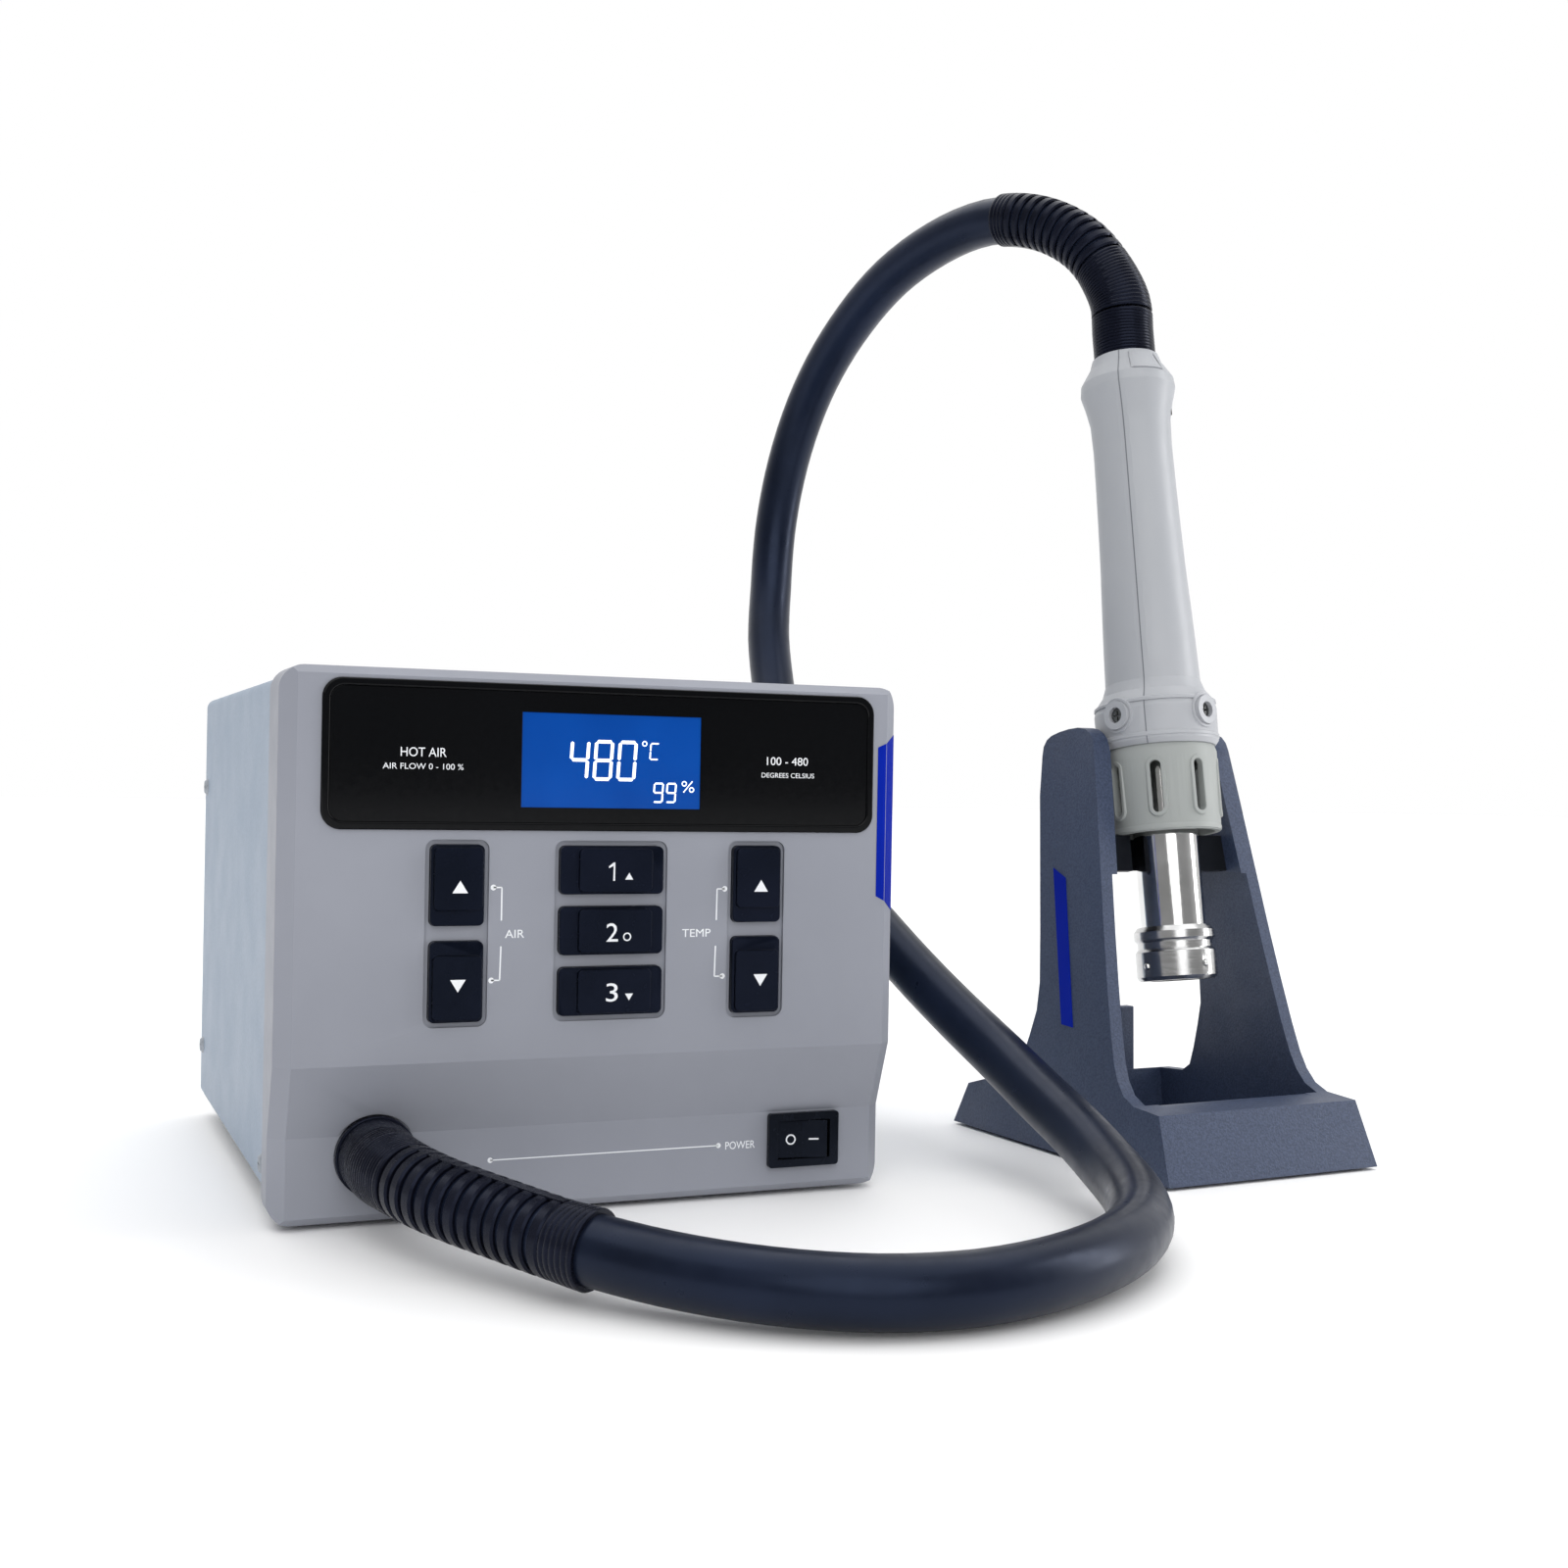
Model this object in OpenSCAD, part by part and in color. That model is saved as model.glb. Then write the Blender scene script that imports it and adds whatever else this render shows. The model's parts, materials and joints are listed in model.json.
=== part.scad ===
// Hot air station: control box, hose, hand piece and bench stand.
// Millimetres, +Z up, the station faces -Y, origin on the table under the middle of the whole set.

/* [Layout] */
// Station centre, sideways from the middle of the set
station_x = -78; // [-120:0.5:0]
// Station centre, front to back from the middle of the set
station_y = 10.4; // [-60:0.1:60]

/* [Station] */
// Width of the plastic front bezel
bezel_w = 169.2; // [140:0.2:220]
// Height of the plastic front bezel
bezel_h = 140.4; // [120:0.2:180]
// Gap between bezel and table
bezel_gap = 1.2; // [0.6:0.2:4]
// Depth of the bezel from its front face to the metal cover
bezel_d = 20; // [16:0.5:30]
// Overall depth of the station
station_d = 184; // [150:1:240]
// Set-back of the lower part of the face
face_step = 7.2; // [4:0.2:10]
// Radius of the bezel corners seen from the front
bezel_r = 6; // [2:0.5:12]
// Width of the slanted strip down each side of the face
side_bevel = 4; // [2:0.5:6]
// Thickness of the moulded face
face_t = 3; // [2:0.5:4]
// Sheet thickness of cover, tray and rear panel
sheet_t = 1.2; // [0.8:0.1:2]

/* [Panel] */
// Sideways shift of the display and key group
panel_x = 0.8; // [-5:0.1:5]
// Width of the display frame
frame_w = 151; // [120:0.5:156]
// Height of the display frame
frame_h = 37.8; // [30:0.2:42]
// Height of the display frame centre above the table
frame_z = 119.8; // [110:0.2:125]
// Width of the lit screen
lcd_w = 49; // [40:0.5:60]
// Height of the lit screen
lcd_h = 24.6; // [20:0.2:30]
// Distance of the outer key columns from the middle one
key_pitch = 41; // [34:0.5:50]
// Width of the air and temperature keys
key_w = 13.8; // [10:0.2:18]
// Height of the air and temperature keys
key_h = 20.6; // [16:0.2:24]
// Width of the preset keys
preset_w = 28.2; // [20:0.2:34]
// Height of the preset keys
preset_h = 12.6; // [10:0.2:14]
// How far the key caps stand out of the face
key_proud = 2.2; // [1:0.1:3]
// Running clearance around each key
key_gap = 0.1; // [0.05:0.05:0.2]

/* [Power switch] */
// Width of the switch bezel
switch_w = 21; // [19:0.5:24]
// Height of the switch bezel
switch_h = 15; // [13:0.5:17]
// Switch centre, sideways
switch_x = 59.8; // [50:0.2:65]
// Switch centre above the table
switch_z = 15.5; // [12:0.5:20]
// Tilt of the rocker to the pressed side
rocker_tilt = 9; // [5:1:12]

/* [Hose] */
// Outer diameter of the hose
hose_d = 16; // [12:0.5:20]
// Hose outlet centre, sideways
outlet_x = -58.5; // [-60:0.5:-45]
// Hose outlet centre above the table
outlet_z = 18.2; // [15:0.2:24]

/* [Stand] */
// Position of the front left corner of the stand, sideways
stand_x = 161; // [150:1:200]
// Position of the front left corner of the stand, front to back
stand_y = -116; // [-140:1:-60]
// Turn of the stand on the table
stand_turn = 4; // [0:1:10]
// Width of the stand base
stand_w = 80; // [70:1:90]
// Depth of the stand base
stand_d = 115; // [100:1:130]
// Inward lean of the two arms
arm_lean = 5.7; // [3:0.1:8]
// Thickness of the arms
arm_t = 4.4; // [3.5:0.1:8]
// Extra thickness of the arms above the ledge
arm_pad = 2; // [1:0.5:3]

/* [Hand piece] */
// Backward tilt of the hand piece in the stand
handle_tilt = 9.1; // [0:0.1:15]
// Turn of the hand piece about its own axis
handle_turn = -48.5; // [-90:0.5:90]
// Length from nozzle ring to the top of the shell
handle_len = 206; // [180:1:220]
// Outer diameter of the heater tube
tube_d = 20.4; // [18:0.2:24]
// Outer diameter of the nozzle ring
ring_d = 25.3; // [22:0.1:28]

/* [Hidden] */
$fn = 64;

front_y = -station_d / 2;
rear_y = station_d / 2;
join_y = front_y + bezel_d;
low_y = front_y + face_step;
bezel_top = bezel_gap + bezel_h;
step_z0 = 23.5;
step_z1 = 42;
cover_w = bezel_w - 2;
cover_z0 = 6.5;
cover_z1 = bezel_top - 2.2;
tray_z = cover_z0 + sheet_t;
in_w = cover_w - 2 * sheet_t;
board_y = front_y + 11;
lcd_dx = -0.3;
lcd_dz = -0.6;
key_travel = 1.2;
key_zu = 86.9;
key_zd = 62.4;
preset_z = [90.7, 74.9, 59.1];
pivot_y = low_y + 1.2;
gland_y = low_y - 3.2;
duct_y = -20;
hose_r = hose_d / 2;
blower_x = -35;
blower_y = 28;
blower_r = 38;
magnet_d = 6;
inlet_x = 46;
inlet_z = 34;
fuse_z = 62;
arm_top = 134;
screw_y = 6;
nozzle_v = 47;
nozzle_z = 54.2;
seat_r = 21.3;
ledge_z = 88;
post_u = 55.5;
post_w = 9.5;

// Helpers -------------------------------------------------------------------------
// Plan rectangle with round corners, centred.
module rr(w, h, r) {
  square([w - 2 * r, h], center = true);
  square([w, h - 2 * r], center = true);
  for (x = [-1, 1], y = [-1, 1]) translate([x * (w / 2 - r), y * (h / 2 - r)]) circle(r = r, $fn = 32);
}
// Stands an x-z outline between two y planes.
module upright(y0, y1) {
  translate([0, y1, 0]) rotate([90, 0, 0]) linear_extrude(y1 - y0) children();
}
// A y-z outline drawn across x.
module across(x0, x1) {
  translate([x0, 0, 0]) rotate([90, 0, 90]) linear_extrude(x1 - x0) children();
}
// Round bar along y.
module ybar(x, z, r, y0, y1) {
  translate([x, y1, z]) rotate([90, 0, 0]) cylinder(r = r, h = y1 - y0);
}
module on_station() {
  translate([station_x, station_y, 0]) children();
}
module on_stand() {
  on_station() translate([stand_x, stand_y, 0]) rotate([0, 0, stand_turn]) children();
}
// Along the axis of the hand piece at rest, from the nozzle upwards, in the stand's frame.
module at_rest_axis() {
  translate([stand_w / 2, nozzle_v, nozzle_z]) rotate([-handle_tilt, 0, 0]) children();
}
module on_handle() {
  on_stand() at_rest_axis() rotate([0, 0, handle_turn]) children();
}

// Hose route -----------------------------------------------------------------------
function turned(p) = [stand_x + p[0] * cos(stand_turn) - p[1] * sin(stand_turn),
  stand_y + p[0] * sin(stand_turn) + p[1] * cos(stand_turn), p[2]];
function axis_pt(t) = turned([stand_w / 2, nozzle_v + t * sin(handle_tilt), nozzle_z + t * cos(handle_tilt)]);
home = [station_x, station_y, 0];
route = concat([[outlet_x, gland_y, outlet_z], [outlet_x, gland_y - 15, outlet_z]], [
  [-52, -126, 16.5], [-40.5, -146, 14], [-29, -166, 12], [-14.5, -183.5, 10], [2.5, -199.5, 9],
  [22.5, -210.5, 8.5], [45, -214, 8.5], [67.5, -209.5, 9], [88, -199, 9.5], [105, -183.5, 10],
  [116.5, -164, 11.5], [123.5, -142, 14.5], [127, -120, 20], [128, -98, 26.5],
  [127.5, -76.5, 34.5], [124.5, -56, 44], [120.5, -36, 55], [117, -16.5, 66.5],
  [114.5, 3.5, 78], [113, 22.5, 90.5], [113, 41, 104.5], [115, 58.5, 119], [118, 75.5, 134.5],
  [122, 90, 151.5], [125, 102.5, 170.5], [129.5, 112, 191], [132.5, 116, 213.5],
  [135.5, 114, 236], [139, 106.5, 257.5], [143, 94, 276], [148, 77.5, 291.5], [154, 59, 303.5],
  [162, 38.5, 311.5], [171, 17.5, 314.5], [180.5, -2.5, 310], [189.5, -19.5, 297.5]],
  [axis_pt(handle_len + 20), axis_pt(handle_len)]);
function mid(p, i) = i < 1 || i > len(p) - 3 ? (p[i] + p[i + 1]) / 2
  : (9 * (p[i] + p[i + 1]) - p[i - 1] - p[i + 2]) / 16;
path = [for (i = [0:2 * len(route) - 2]) home + (i % 2 == 0 ? route[i / 2] : mid(route, (i - 1) / 2))];
np = len(path);
function unit(v) = v / norm(v);
function tang(p, i) = unit(p[min(i + 1, len(p) - 1)] - p[max(i - 1, 0)]);
function carry(p, i) = i == 0 ? unit(cross(tang(p, 0), [0, 0, 1]))
  : let(n = carry(p, i - 1), t = tang(p, i)) unit(n - (n * t) * t);
normals = [for (i = [0:np - 1]) carry(path, i)];
sides = 12;
function ring_at(i, r) = let(t = tang(path, i), n = normals[i], b = cross(t, n))
  [for (k = [0:sides - 1]) path[i] + r * (cos(360 * k / sides) * n + sin(360 * k / sides) * b)];
function wall(a, n, flip) = [for (i = [0:n - 2], k = [0:sides - 1]) let(q = a + i * sides,
  m = (k + 1) % sides) flip ? [q + k, q + sides + k, q + sides + m, q + m]
  : [q + k, q + m, q + sides + m, q + sides + k]];

module swept_bar(a, b, r) {
  n = b - a + 1;
  pts = [for (i = [a:b]) each ring_at(i, r)];
  ends = [[for (k = [sides - 1:-1:0]) k], [for (k = [0:sides - 1]) (n - 1) * sides + k]];
  polyhedron(points = pts, faces = concat(wall(0, n, false), ends), convexity = 8);
}

// Sleeve around the hose; its outside goes from r0 to r1 along the way.
module swept_sleeve(a, b, r0, r1, ri) {
  n = b - a + 1;
  outer = [for (i = [a:b]) each ring_at(i, r0 + (r1 - r0) * (i - a) / (b - a))];
  inner = [for (i = [a:b]) each ring_at(i, ri)];
  m = n * sides;
  e0 = [for (k = [0:sides - 1]) let(j = (k + 1) % sides) [j, k, m + k, m + j]];
  q = (n - 1) * sides;
  e1 = [for (k = [0:sides - 1]) let(j = (k + 1) % sides) [q + k, q + j, m + q + j, m + q + k]];
  polyhedron(points = concat(outer, inner),
    faces = concat(wall(0, n, false), wall(m, n, true), e0, e1), convexity = 8);
}

// Station case ---------------------------------------------------------------------
module base_tray() {
  color("#8f969e") on_station() difference() {
    union() {
      translate([-in_w / 2, join_y, cover_z0]) cube([in_w, rear_y - join_y, sheet_t]);
      for (s = [-1, 1]) translate([s > 0 ? in_w / 2 - sheet_t : -in_w / 2, join_y, tray_z])
        cube([sheet_t, rear_y - join_y - sheet_t, 10]);
    }
    for (x = [-60:8:60]) translate([x, 62, cover_z0 - 1]) cube([3, 18, 4]);
  }
}

module top_cover() {
  color("#8fa0ae") on_station() difference() {
    upright(join_y, rear_y) difference() {
      translate([0, (cover_z0 + cover_z1) / 2]) rr(cover_w, cover_z1 - cover_z0, 3);
      translate([0, (cover_z0 + cover_z1) / 2 - 5 - sheet_t / 2])
        square([in_w, cover_z1 - cover_z0 + 10 - sheet_t], center = true);
    }
    for (s = [-1, 1], z = [24, 110]) translate([s * (cover_w / 2 - 2), rear_y - screw_y, z])
      rotate([0, 90, 0]) cylinder(r = 1.6, h = 6, center = true);
    for (s = [-1, 1]) translate([s * (cover_w / 2 - 2), join_y + screw_y, 14])
      rotate([0, 90, 0]) cylinder(r = 1.6, h = 6, center = true);
  }
}

module rear_panel() {
  color("#8f969e") on_station() difference() {
    translate([-in_w / 2, rear_y - sheet_t, tray_z]) cube([in_w, sheet_t, cover_z1 - sheet_t - tray_z]);
    for (x = [-64:6:-16], z = [60, 84]) translate([x, rear_y - 3, z]) cube([2.4, 6, 20]);
    translate([inlet_x - 13.8, rear_y - 3, inlet_z - 10]) cube([27.6, 6, 20]);
    ybar(inlet_x, fuse_z, 6.1, rear_y - 3, rear_y + 3);
  }
}

module plan_outline(d) {
  polygon([[-bezel_w / 2, join_y], [-bezel_w / 2, front_y + d + side_bevel],
    [side_bevel - bezel_w / 2, front_y + d], [bezel_w / 2 - side_bevel, front_y + d],
    [bezel_w / 2, front_y + d + side_bevel], [bezel_w / 2, join_y]]);
}

module key_window(x, z, w, h) {
  upright(front_y - 1, front_y + face_t + 1) translate([x, z])
    rr(w + 2 * key_gap, h + 2 * key_gap, 1.6);
}

module front_bezel() {
  color("#868993") on_station() difference() {
    union() {
      intersection() {
        union() {
          translate([0, 0, step_z1]) linear_extrude(bezel_top - step_z1) plan_outline(0);
          translate([0, 0, bezel_gap]) linear_extrude(step_z0 - bezel_gap) plan_outline(face_step);
          hull() {
            translate([0, 0, step_z1]) linear_extrude(0.1) plan_outline(0);
            translate([0, 0, step_z0 - 0.1]) linear_extrude(0.1) plan_outline(face_step);
          }
        }
        upright(front_y - 1, join_y) translate([0, bezel_gap + bezel_h / 2]) rr(bezel_w, bezel_h, bezel_r);
        across(-100, 100) polygon([[join_y, bezel_gap], [join_y, bezel_top],
          [front_y + 2, bezel_top], [front_y, bezel_top - 2], [front_y, bezel_gap + 8],
          [low_y, bezel_gap + 2], [low_y + 2, bezel_gap]]);
      }
      for (s = [-1, 1]) translate([s * 40 - 6, join_y - 8, bezel_gap + 1.5])
        cube([12, 26, cover_z0 - bezel_gap - 1.5]);
    }
    // Hollow behind the face.
    difference() {
      upright(front_y + face_t, join_y + 1) translate([0, bezel_gap + bezel_h / 2])
        rr(bezel_w - 5.2, bezel_h - 5.2, bezel_r - 2);
      across(-100, 100) polygon([[front_y - 1, 0], [front_y - 1, step_z1 - 1.5],
        [front_y + face_t, step_z1 - 1.5],
        [low_y + face_t, step_z0 + 1], [low_y + face_t, 0]]);
      for (x = [-76, 76]) translate([x, 0, 0]) ybar(0, 57, 3, front_y, board_y);
      for (x = [-22, 24]) ybar(x, 96, 2.5, front_y, board_y);
      for (s = [-1, 1]) translate([s * 40 - 6, join_y - 8, bezel_gap])
        cube([12, 26, cover_z0 - bezel_gap]);
    }
    upright(front_y - 2, front_y + face_t + 1) translate([panel_x, frame_z]) rr(frame_w, frame_h, 5);
    for (s = [-1, 1]) upright(front_y - 1, front_y + 1)
      translate([panel_x + s * key_pitch, (key_zu + key_zd) / 2])
        rr(key_w + 2.6, key_zu - key_zd + key_h + 2.6, 2.5);
    upright(front_y - 1, front_y + 1) translate([panel_x, preset_z[1]])
      rr(preset_w + 2.6, preset_z[0] - preset_z[2] + preset_h + 2.8, 2.5);
    for (s = [-1, 1], z = [key_zu, key_zd]) key_window(panel_x + s * key_pitch, z, key_w, key_h);
    for (z = preset_z) key_window(panel_x, z, preset_w, preset_h);
    upright(low_y - 1, low_y + face_t + 1) translate([switch_x, switch_z])
      square([switch_w - 2.4, switch_h - 2.2], center = true);
    ybar(outlet_x, outlet_z, 8, low_y - 1, low_y + face_t + 1);
    // Pocket for the flange of the hose gland where the slope starts.
    ybar(outlet_x, outlet_z, 10.7, low_y - 5, low_y);
  }
}

module display_frame() {
  color("#15161a") on_station() upright(front_y - 0.8, front_y + face_t)
    translate([panel_x, frame_z]) difference() {
      rr(frame_w, frame_h, 5);
      rr(frame_w - 4, frame_h - 4, 3.5);
    }
}

module display_lens() {
  color("#08080a") on_station() upright(front_y - 0.4, front_y + 1.8)
    translate([panel_x, frame_z]) difference() {
      rr(frame_w - 4, frame_h - 4, 3.5);
      translate([lcd_dx, lcd_dz]) square([lcd_w, lcd_h], center = true);
    }
}

module lcd_module() {
  color("#0a4fb0") on_station() union() {
    upright(front_y - 0.2, front_y + 2) translate([panel_x + lcd_dx, frame_z + lcd_dz])
      square([lcd_w, lcd_h], center = true);
    upright(front_y + 1.8, board_y) translate([panel_x + lcd_dx, frame_z + lcd_dz])
      square([lcd_w + 6, lcd_h + 7], center = true);
  }
}

module control_board() {
  color("#1f5a3a") on_station() difference() {
    upright(board_y, board_y + 1.6) translate([0, 94.5]) square([158, 83], center = true);
    for (x = [-76, 76]) ybar(x, 57, 1.2, board_y - 1, board_y + 3);
  }
}

module tact(x, z) {
  translate([x - 3, board_y - 3.6, z - 3]) cube([6, 3.6, 6]);
  ybar(x, z, 1.7, board_y - 4.1, board_y - 3.5);
}

module key_switches() {
  color("#3a3a3c") on_station() union() {
    for (s = [-1, 1], z = [key_zu, key_zd]) tact(panel_x + s * key_pitch, z);
    for (z = preset_z) tact(panel_x, z);
  }
}

// Keys -------------------------------------------------------------------------------
// x0, x1, z0, z1: width of the low ledge on each side of the raised cap.
module key_cap(x, z, w, h, x0, x1, z0, z1) {
  color("#0b0f1a") on_station() translate([x, 0, z]) union() {
    upright(front_y - 0.9, front_y + face_t + 0.1) rr(w, h, 1.5);
    upright(front_y - key_proud, front_y) translate([(x0 - x1) / 2, (z0 - z1) / 2])
      rr(w - x0 - x1, h - z0 - z1, 1.4);
    upright(front_y + face_t + 0.03, front_y + face_t + 1) rr(w + 2, h + 2, 1.5);
    ybar(0, 0, 2.2, front_y + face_t + 0.9, board_y - 4.1 - key_travel - 0.1);
  }
}
module air_up_key() { key_cap(panel_x - key_pitch, key_zu, key_w, key_h, 0.6, 0.6, 4, 0.6); }
module air_down_key() { key_cap(panel_x - key_pitch, key_zd, key_w, key_h, 0.6, 0.6, 0.6, 3.6); }
module temp_up_key() { key_cap(panel_x + key_pitch, key_zu, key_w, key_h, 0.6, 0.6, 4, 0.6); }
module temp_down_key() { key_cap(panel_x + key_pitch, key_zd, key_w, key_h, 0.6, 0.6, 0.6, 3.6); }
module preset_1_key() { key_cap(panel_x, preset_z[0], preset_w, preset_h, 4.8, 3.4, 0.6, 0.6); }
module preset_2_key() { key_cap(panel_x, preset_z[1], preset_w, preset_h, 4.8, 3.4, 0.6, 0.6); }
module preset_3_key() { key_cap(panel_x, preset_z[2], preset_w, preset_h, 4.8, 3.4, 0.6, 0.6); }

// Power switch -------------------------------------------------------------------------
module switch_housing() {
  color("#101217") on_station() difference() {
    union() {
      upright(low_y - 1.8, low_y) translate([switch_x, switch_z]) rr(switch_w, switch_h, 1);
      upright(low_y - 0.1, low_y + 14) translate([switch_x, switch_z])
        square([switch_w - 2.4, switch_h - 2.2], center = true);
      for (x = [-6, 0, 6]) translate([switch_x + x - 0.4, low_y + 13, switch_z - 3.1]) cube([0.8, 8, 6.2]);
    }
    upright(low_y - 3, low_y + 8.4) translate([switch_x, switch_z]) square([15.6, 10.6], center = true);
    translate([switch_x, pivot_y, switch_z]) cylinder(r = 1, h = 12.2, center = true, $fn = 32);
  }
}

module switch_rocker() {
  color("#0c0e13") on_station() translate([switch_x, pivot_y, switch_z])
    rotate([0, 0, -rocker_tilt]) union() {
      translate([0, 0, -5.15]) linear_extrude(10.3) polygon([[-7.1, -2.9], [0, -2.3], [7.1, -2.9],
        [7.1, -1], [5, 2.6], [0, 4.4], [-5, 2.6], [-7.1, -1]]);
      cylinder(r = 0.95, h = 11.9, center = true, $fn = 32);
    }
}

// Hose outlet, hose and sleeves ----------------------------------------------------------
module hose_gland() {
  color("#16181c") on_station() difference() {
    union() {
      ybar(outlet_x, outlet_z, 10.3, gland_y, low_y);
      ybar(outlet_x, outlet_z, 8, low_y - 0.1, join_y);
    }
    ybar(outlet_x, outlet_z, 5.5, gland_y - 1, join_y + 1);
  }
}
module gland_nut() {
  color("#9ea2a6") on_station() difference() {
    translate([outlet_x, low_y + face_t + 4, outlet_z]) rotate([90, 0, 0]) cylinder(r = 11.4, h = 4, $fn = 6);
    ybar(outlet_x, outlet_z, 8, low_y, join_y);
  }
}
module hose() { color("#232838") swept_bar(0, np - 1, hose_r); }
module station_relief() {
  color("#15171d") swept_sleeve(0, 9, hose_r + 1.7, hose_r + 1.2, hose_r + 0.05);
}
module handle_relief() {
  color("#15171d") swept_sleeve(np - 9, np - 1, hose_r + 1, hose_r + 2.2, hose_r + 0.05);
}

// Hand piece -----------------------------------------------------------------------------
shell_out = [[18.2, 74], [19.3, 75.5], [19.5, 86], [18.6, 89], [16.4, 92], [15.2, 95.5], [14.8, 108],
  [14.3, 121], [13.7, 134], [13.3, 148], [13, 161], [12.8, 175], [13.1, 184], [14.3, 190],
  [15.5, 194.5], [15.2, 197.5], [13.4, 200.5], [11.8, 203], [10.9, handle_len]];
shell_in = [[8.2, handle_len], [8.2, 198], [10.9, 192], [10.8, 175], [11.2, 150], [12.2, 121],
  [12.9, 98], [tube_d / 2, 94], [tube_d / 2, 74]];
boss_angles = [62, 152];
boss_in = 17.6;
boss_t = 84;
module shell_half(a) {
  difference() {
    union() {
      rotate([0, 0, a]) rotate_extrude(angle = 180) polygon(concat(shell_out, shell_in));
      for (b = boss_angles) intersection() {
        rotate([0, 0, a]) translate([-30, 0, 0]) cube([60, 30, 250]);
        rotate([0, 0, a + b]) translate([15, 0, boss_t]) rotate([0, 90, 0])
          cylinder(r = 4.6, h = 5.6, $fn = 40);
      }
    }
    for (b = boss_angles) rotate([0, 0, a + b]) translate([boss_in, 0, boss_t])
      rotate([0, 90, 0]) cylinder(r = 2.5, h = 5, $fn = 32);
  }
}
module handle_shell_left() { color("#bfc3c3") on_handle() shell_half(90); }
module handle_shell_right() { color("#c2c6c6") on_handle() shell_half(-90); }
module handle_screws() {
  color("#5a5d60") on_handle() for (a = [90, -90], b = boss_angles) rotate([0, 0, a + b]) difference() {
    translate([boss_in, 0, boss_t]) rotate([0, 90, 0]) cylinder(r = 2.3, h = 1.6, $fn = 32);
    translate([boss_in + 1, -0.3, boss_t - 1.6]) cube([2, 0.6, 3.2]);
    translate([boss_in + 1, -1.6, boss_t - 0.3]) cube([2, 3.2, 0.6]);
  }
}
slot_w = 3.4;
slot_turn = 5;
module vent_collar() {
  color("#b4b8b4") on_handle() difference() {
    rotate_extrude() polygon([[17.3, 46.5], [17.7, 48], [18.3, 72], [17.6, 74], [tube_d / 2, 74],
      [tube_d / 2, 70.5], [16.2, 70.5], [15.6, 46.5]]);
    for (k = [0:7]) rotate([0, 0, 45 * k + slot_turn]) translate([14, 0, 0]) {
      translate([0, -slot_w / 2, 52 + slot_w / 2]) cube([6, slot_w, 16.5 - slot_w]);
      for (t = [52 + slot_w / 2, 68.5 - slot_w / 2]) translate([0, 0, t]) rotate([0, 90, 0])
        cylinder(d = slot_w, h = 6, $fn = 24);
    }
  }
}
module heater_tube() {
  color("#c9cccf") on_handle() difference() {
    translate([0, 0, 2]) cylinder(d = tube_d, h = 92);
    translate([0, 0, 1]) cylinder(d = tube_d - 1.4, h = 94);
  }
}
module heater_core() {
  color("#e8e2d4") on_handle() difference() {
    union() {
      translate([0, 0, 26]) cylinder(r = 7, h = 62);
      for (t = [26, 84]) translate([0, 0, t]) cylinder(d = tube_d - 1.6, h = 4);
    }
    for (k = [0:5]) rotate([0, 0, 60 * k]) translate([4.2, 0, 25]) cylinder(r = 1.6, h = 64, $fn = 24);
  }
}
module heater_coil() {
  color("#9a8a78") on_handle() for (k = [0:9]) translate([0, 0, 34 + 5 * k])
    rotate_extrude() translate([7.6, 0]) circle(r = 0.6, $fn = 16);
}
ball_turn = 54.5;
module nozzle_ring() {
  color("#b9bdc1") on_handle() difference() {
    rotate_extrude() polygon([[ring_d / 2 - 1, 0], [ring_d / 2, 1.2], [ring_d / 2, 9], [ring_d / 2 - 0.9, 10],
      [ring_d / 2 - 0.9, 12], [ring_d / 2, 13], [ring_d / 2, 15.4], [ring_d / 2 - 1.2, 17],
      [tube_d / 2, 17], [tube_d / 2, 2], [tube_d / 2 - 1.6, 2], [tube_d / 2 - 1.6, 0]]);
    for (k = [0:3]) rotate([0, 0, 90 * k + ball_turn]) translate([ring_d / 2 - 1.1, 0, 4.6])
      rotate([0, 90, 0]) cylinder(r = 1.2, h = 3, $fn = 24);
  }
}
module detent_balls() {
  color("#d6d8da") on_handle() for (k = [0:3]) rotate([0, 0, 90 * k + ball_turn])
    translate([ring_d / 2 - 0.05, 0, 4.6]) sphere(r = 1.05, $fn = 24);
}

// Stand ------------------------------------------------------------------------------------
arm_side = [[0, 0], [8, 20], [20, 20.8], [25, 23], [28.5, 27], [31, 32], [34, 41], [38, 55], [42, 70],
  [46, 86], [50, 102], [54, 118], [56.6, 128], [57.6, 130.4], [59.4, 132.2], [62, 133.4], [66, 134],
  [71, 133.6], [76, 132.7], [80, 131.6], [82.4, 130.2], [83.8, 128], [84, 125], [83.2, 112], [79, 88], [75.5, 68], [73, 52], [73.2, 43], [75.6, 35], [78.4, 27],
  [81, 21], [85, 18.4], [98, 17.5], [108, 14.6], [stand_d, 0]];
// Distance of a sloping arm face from the outer foot line, at height z and depth t into the arm.
function arm_u(z, t) = z * tan(arm_lean) + t;
arm_front = [[arm_u(0.8, 0), 0.8], [arm_u(arm_top, 0), arm_top], [arm_u(arm_top, arm_t + arm_pad), arm_top],
  [arm_u(ledge_z, arm_t + arm_pad), ledge_z], [arm_u(ledge_z, arm_t), ledge_z], [arm_u(45, arm_t), 45],
  [arm_u(31, arm_t), 31], [arm_u(26, arm_t + 0.4), 26], [arm_u(22.5, arm_t + 2), 22.5],
  [arm_u(20.6, arm_t + 5), 20.6]];
na = len(arm_front);
hollow_z0 = 3.8;
hollow_z1 = 60;
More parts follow.
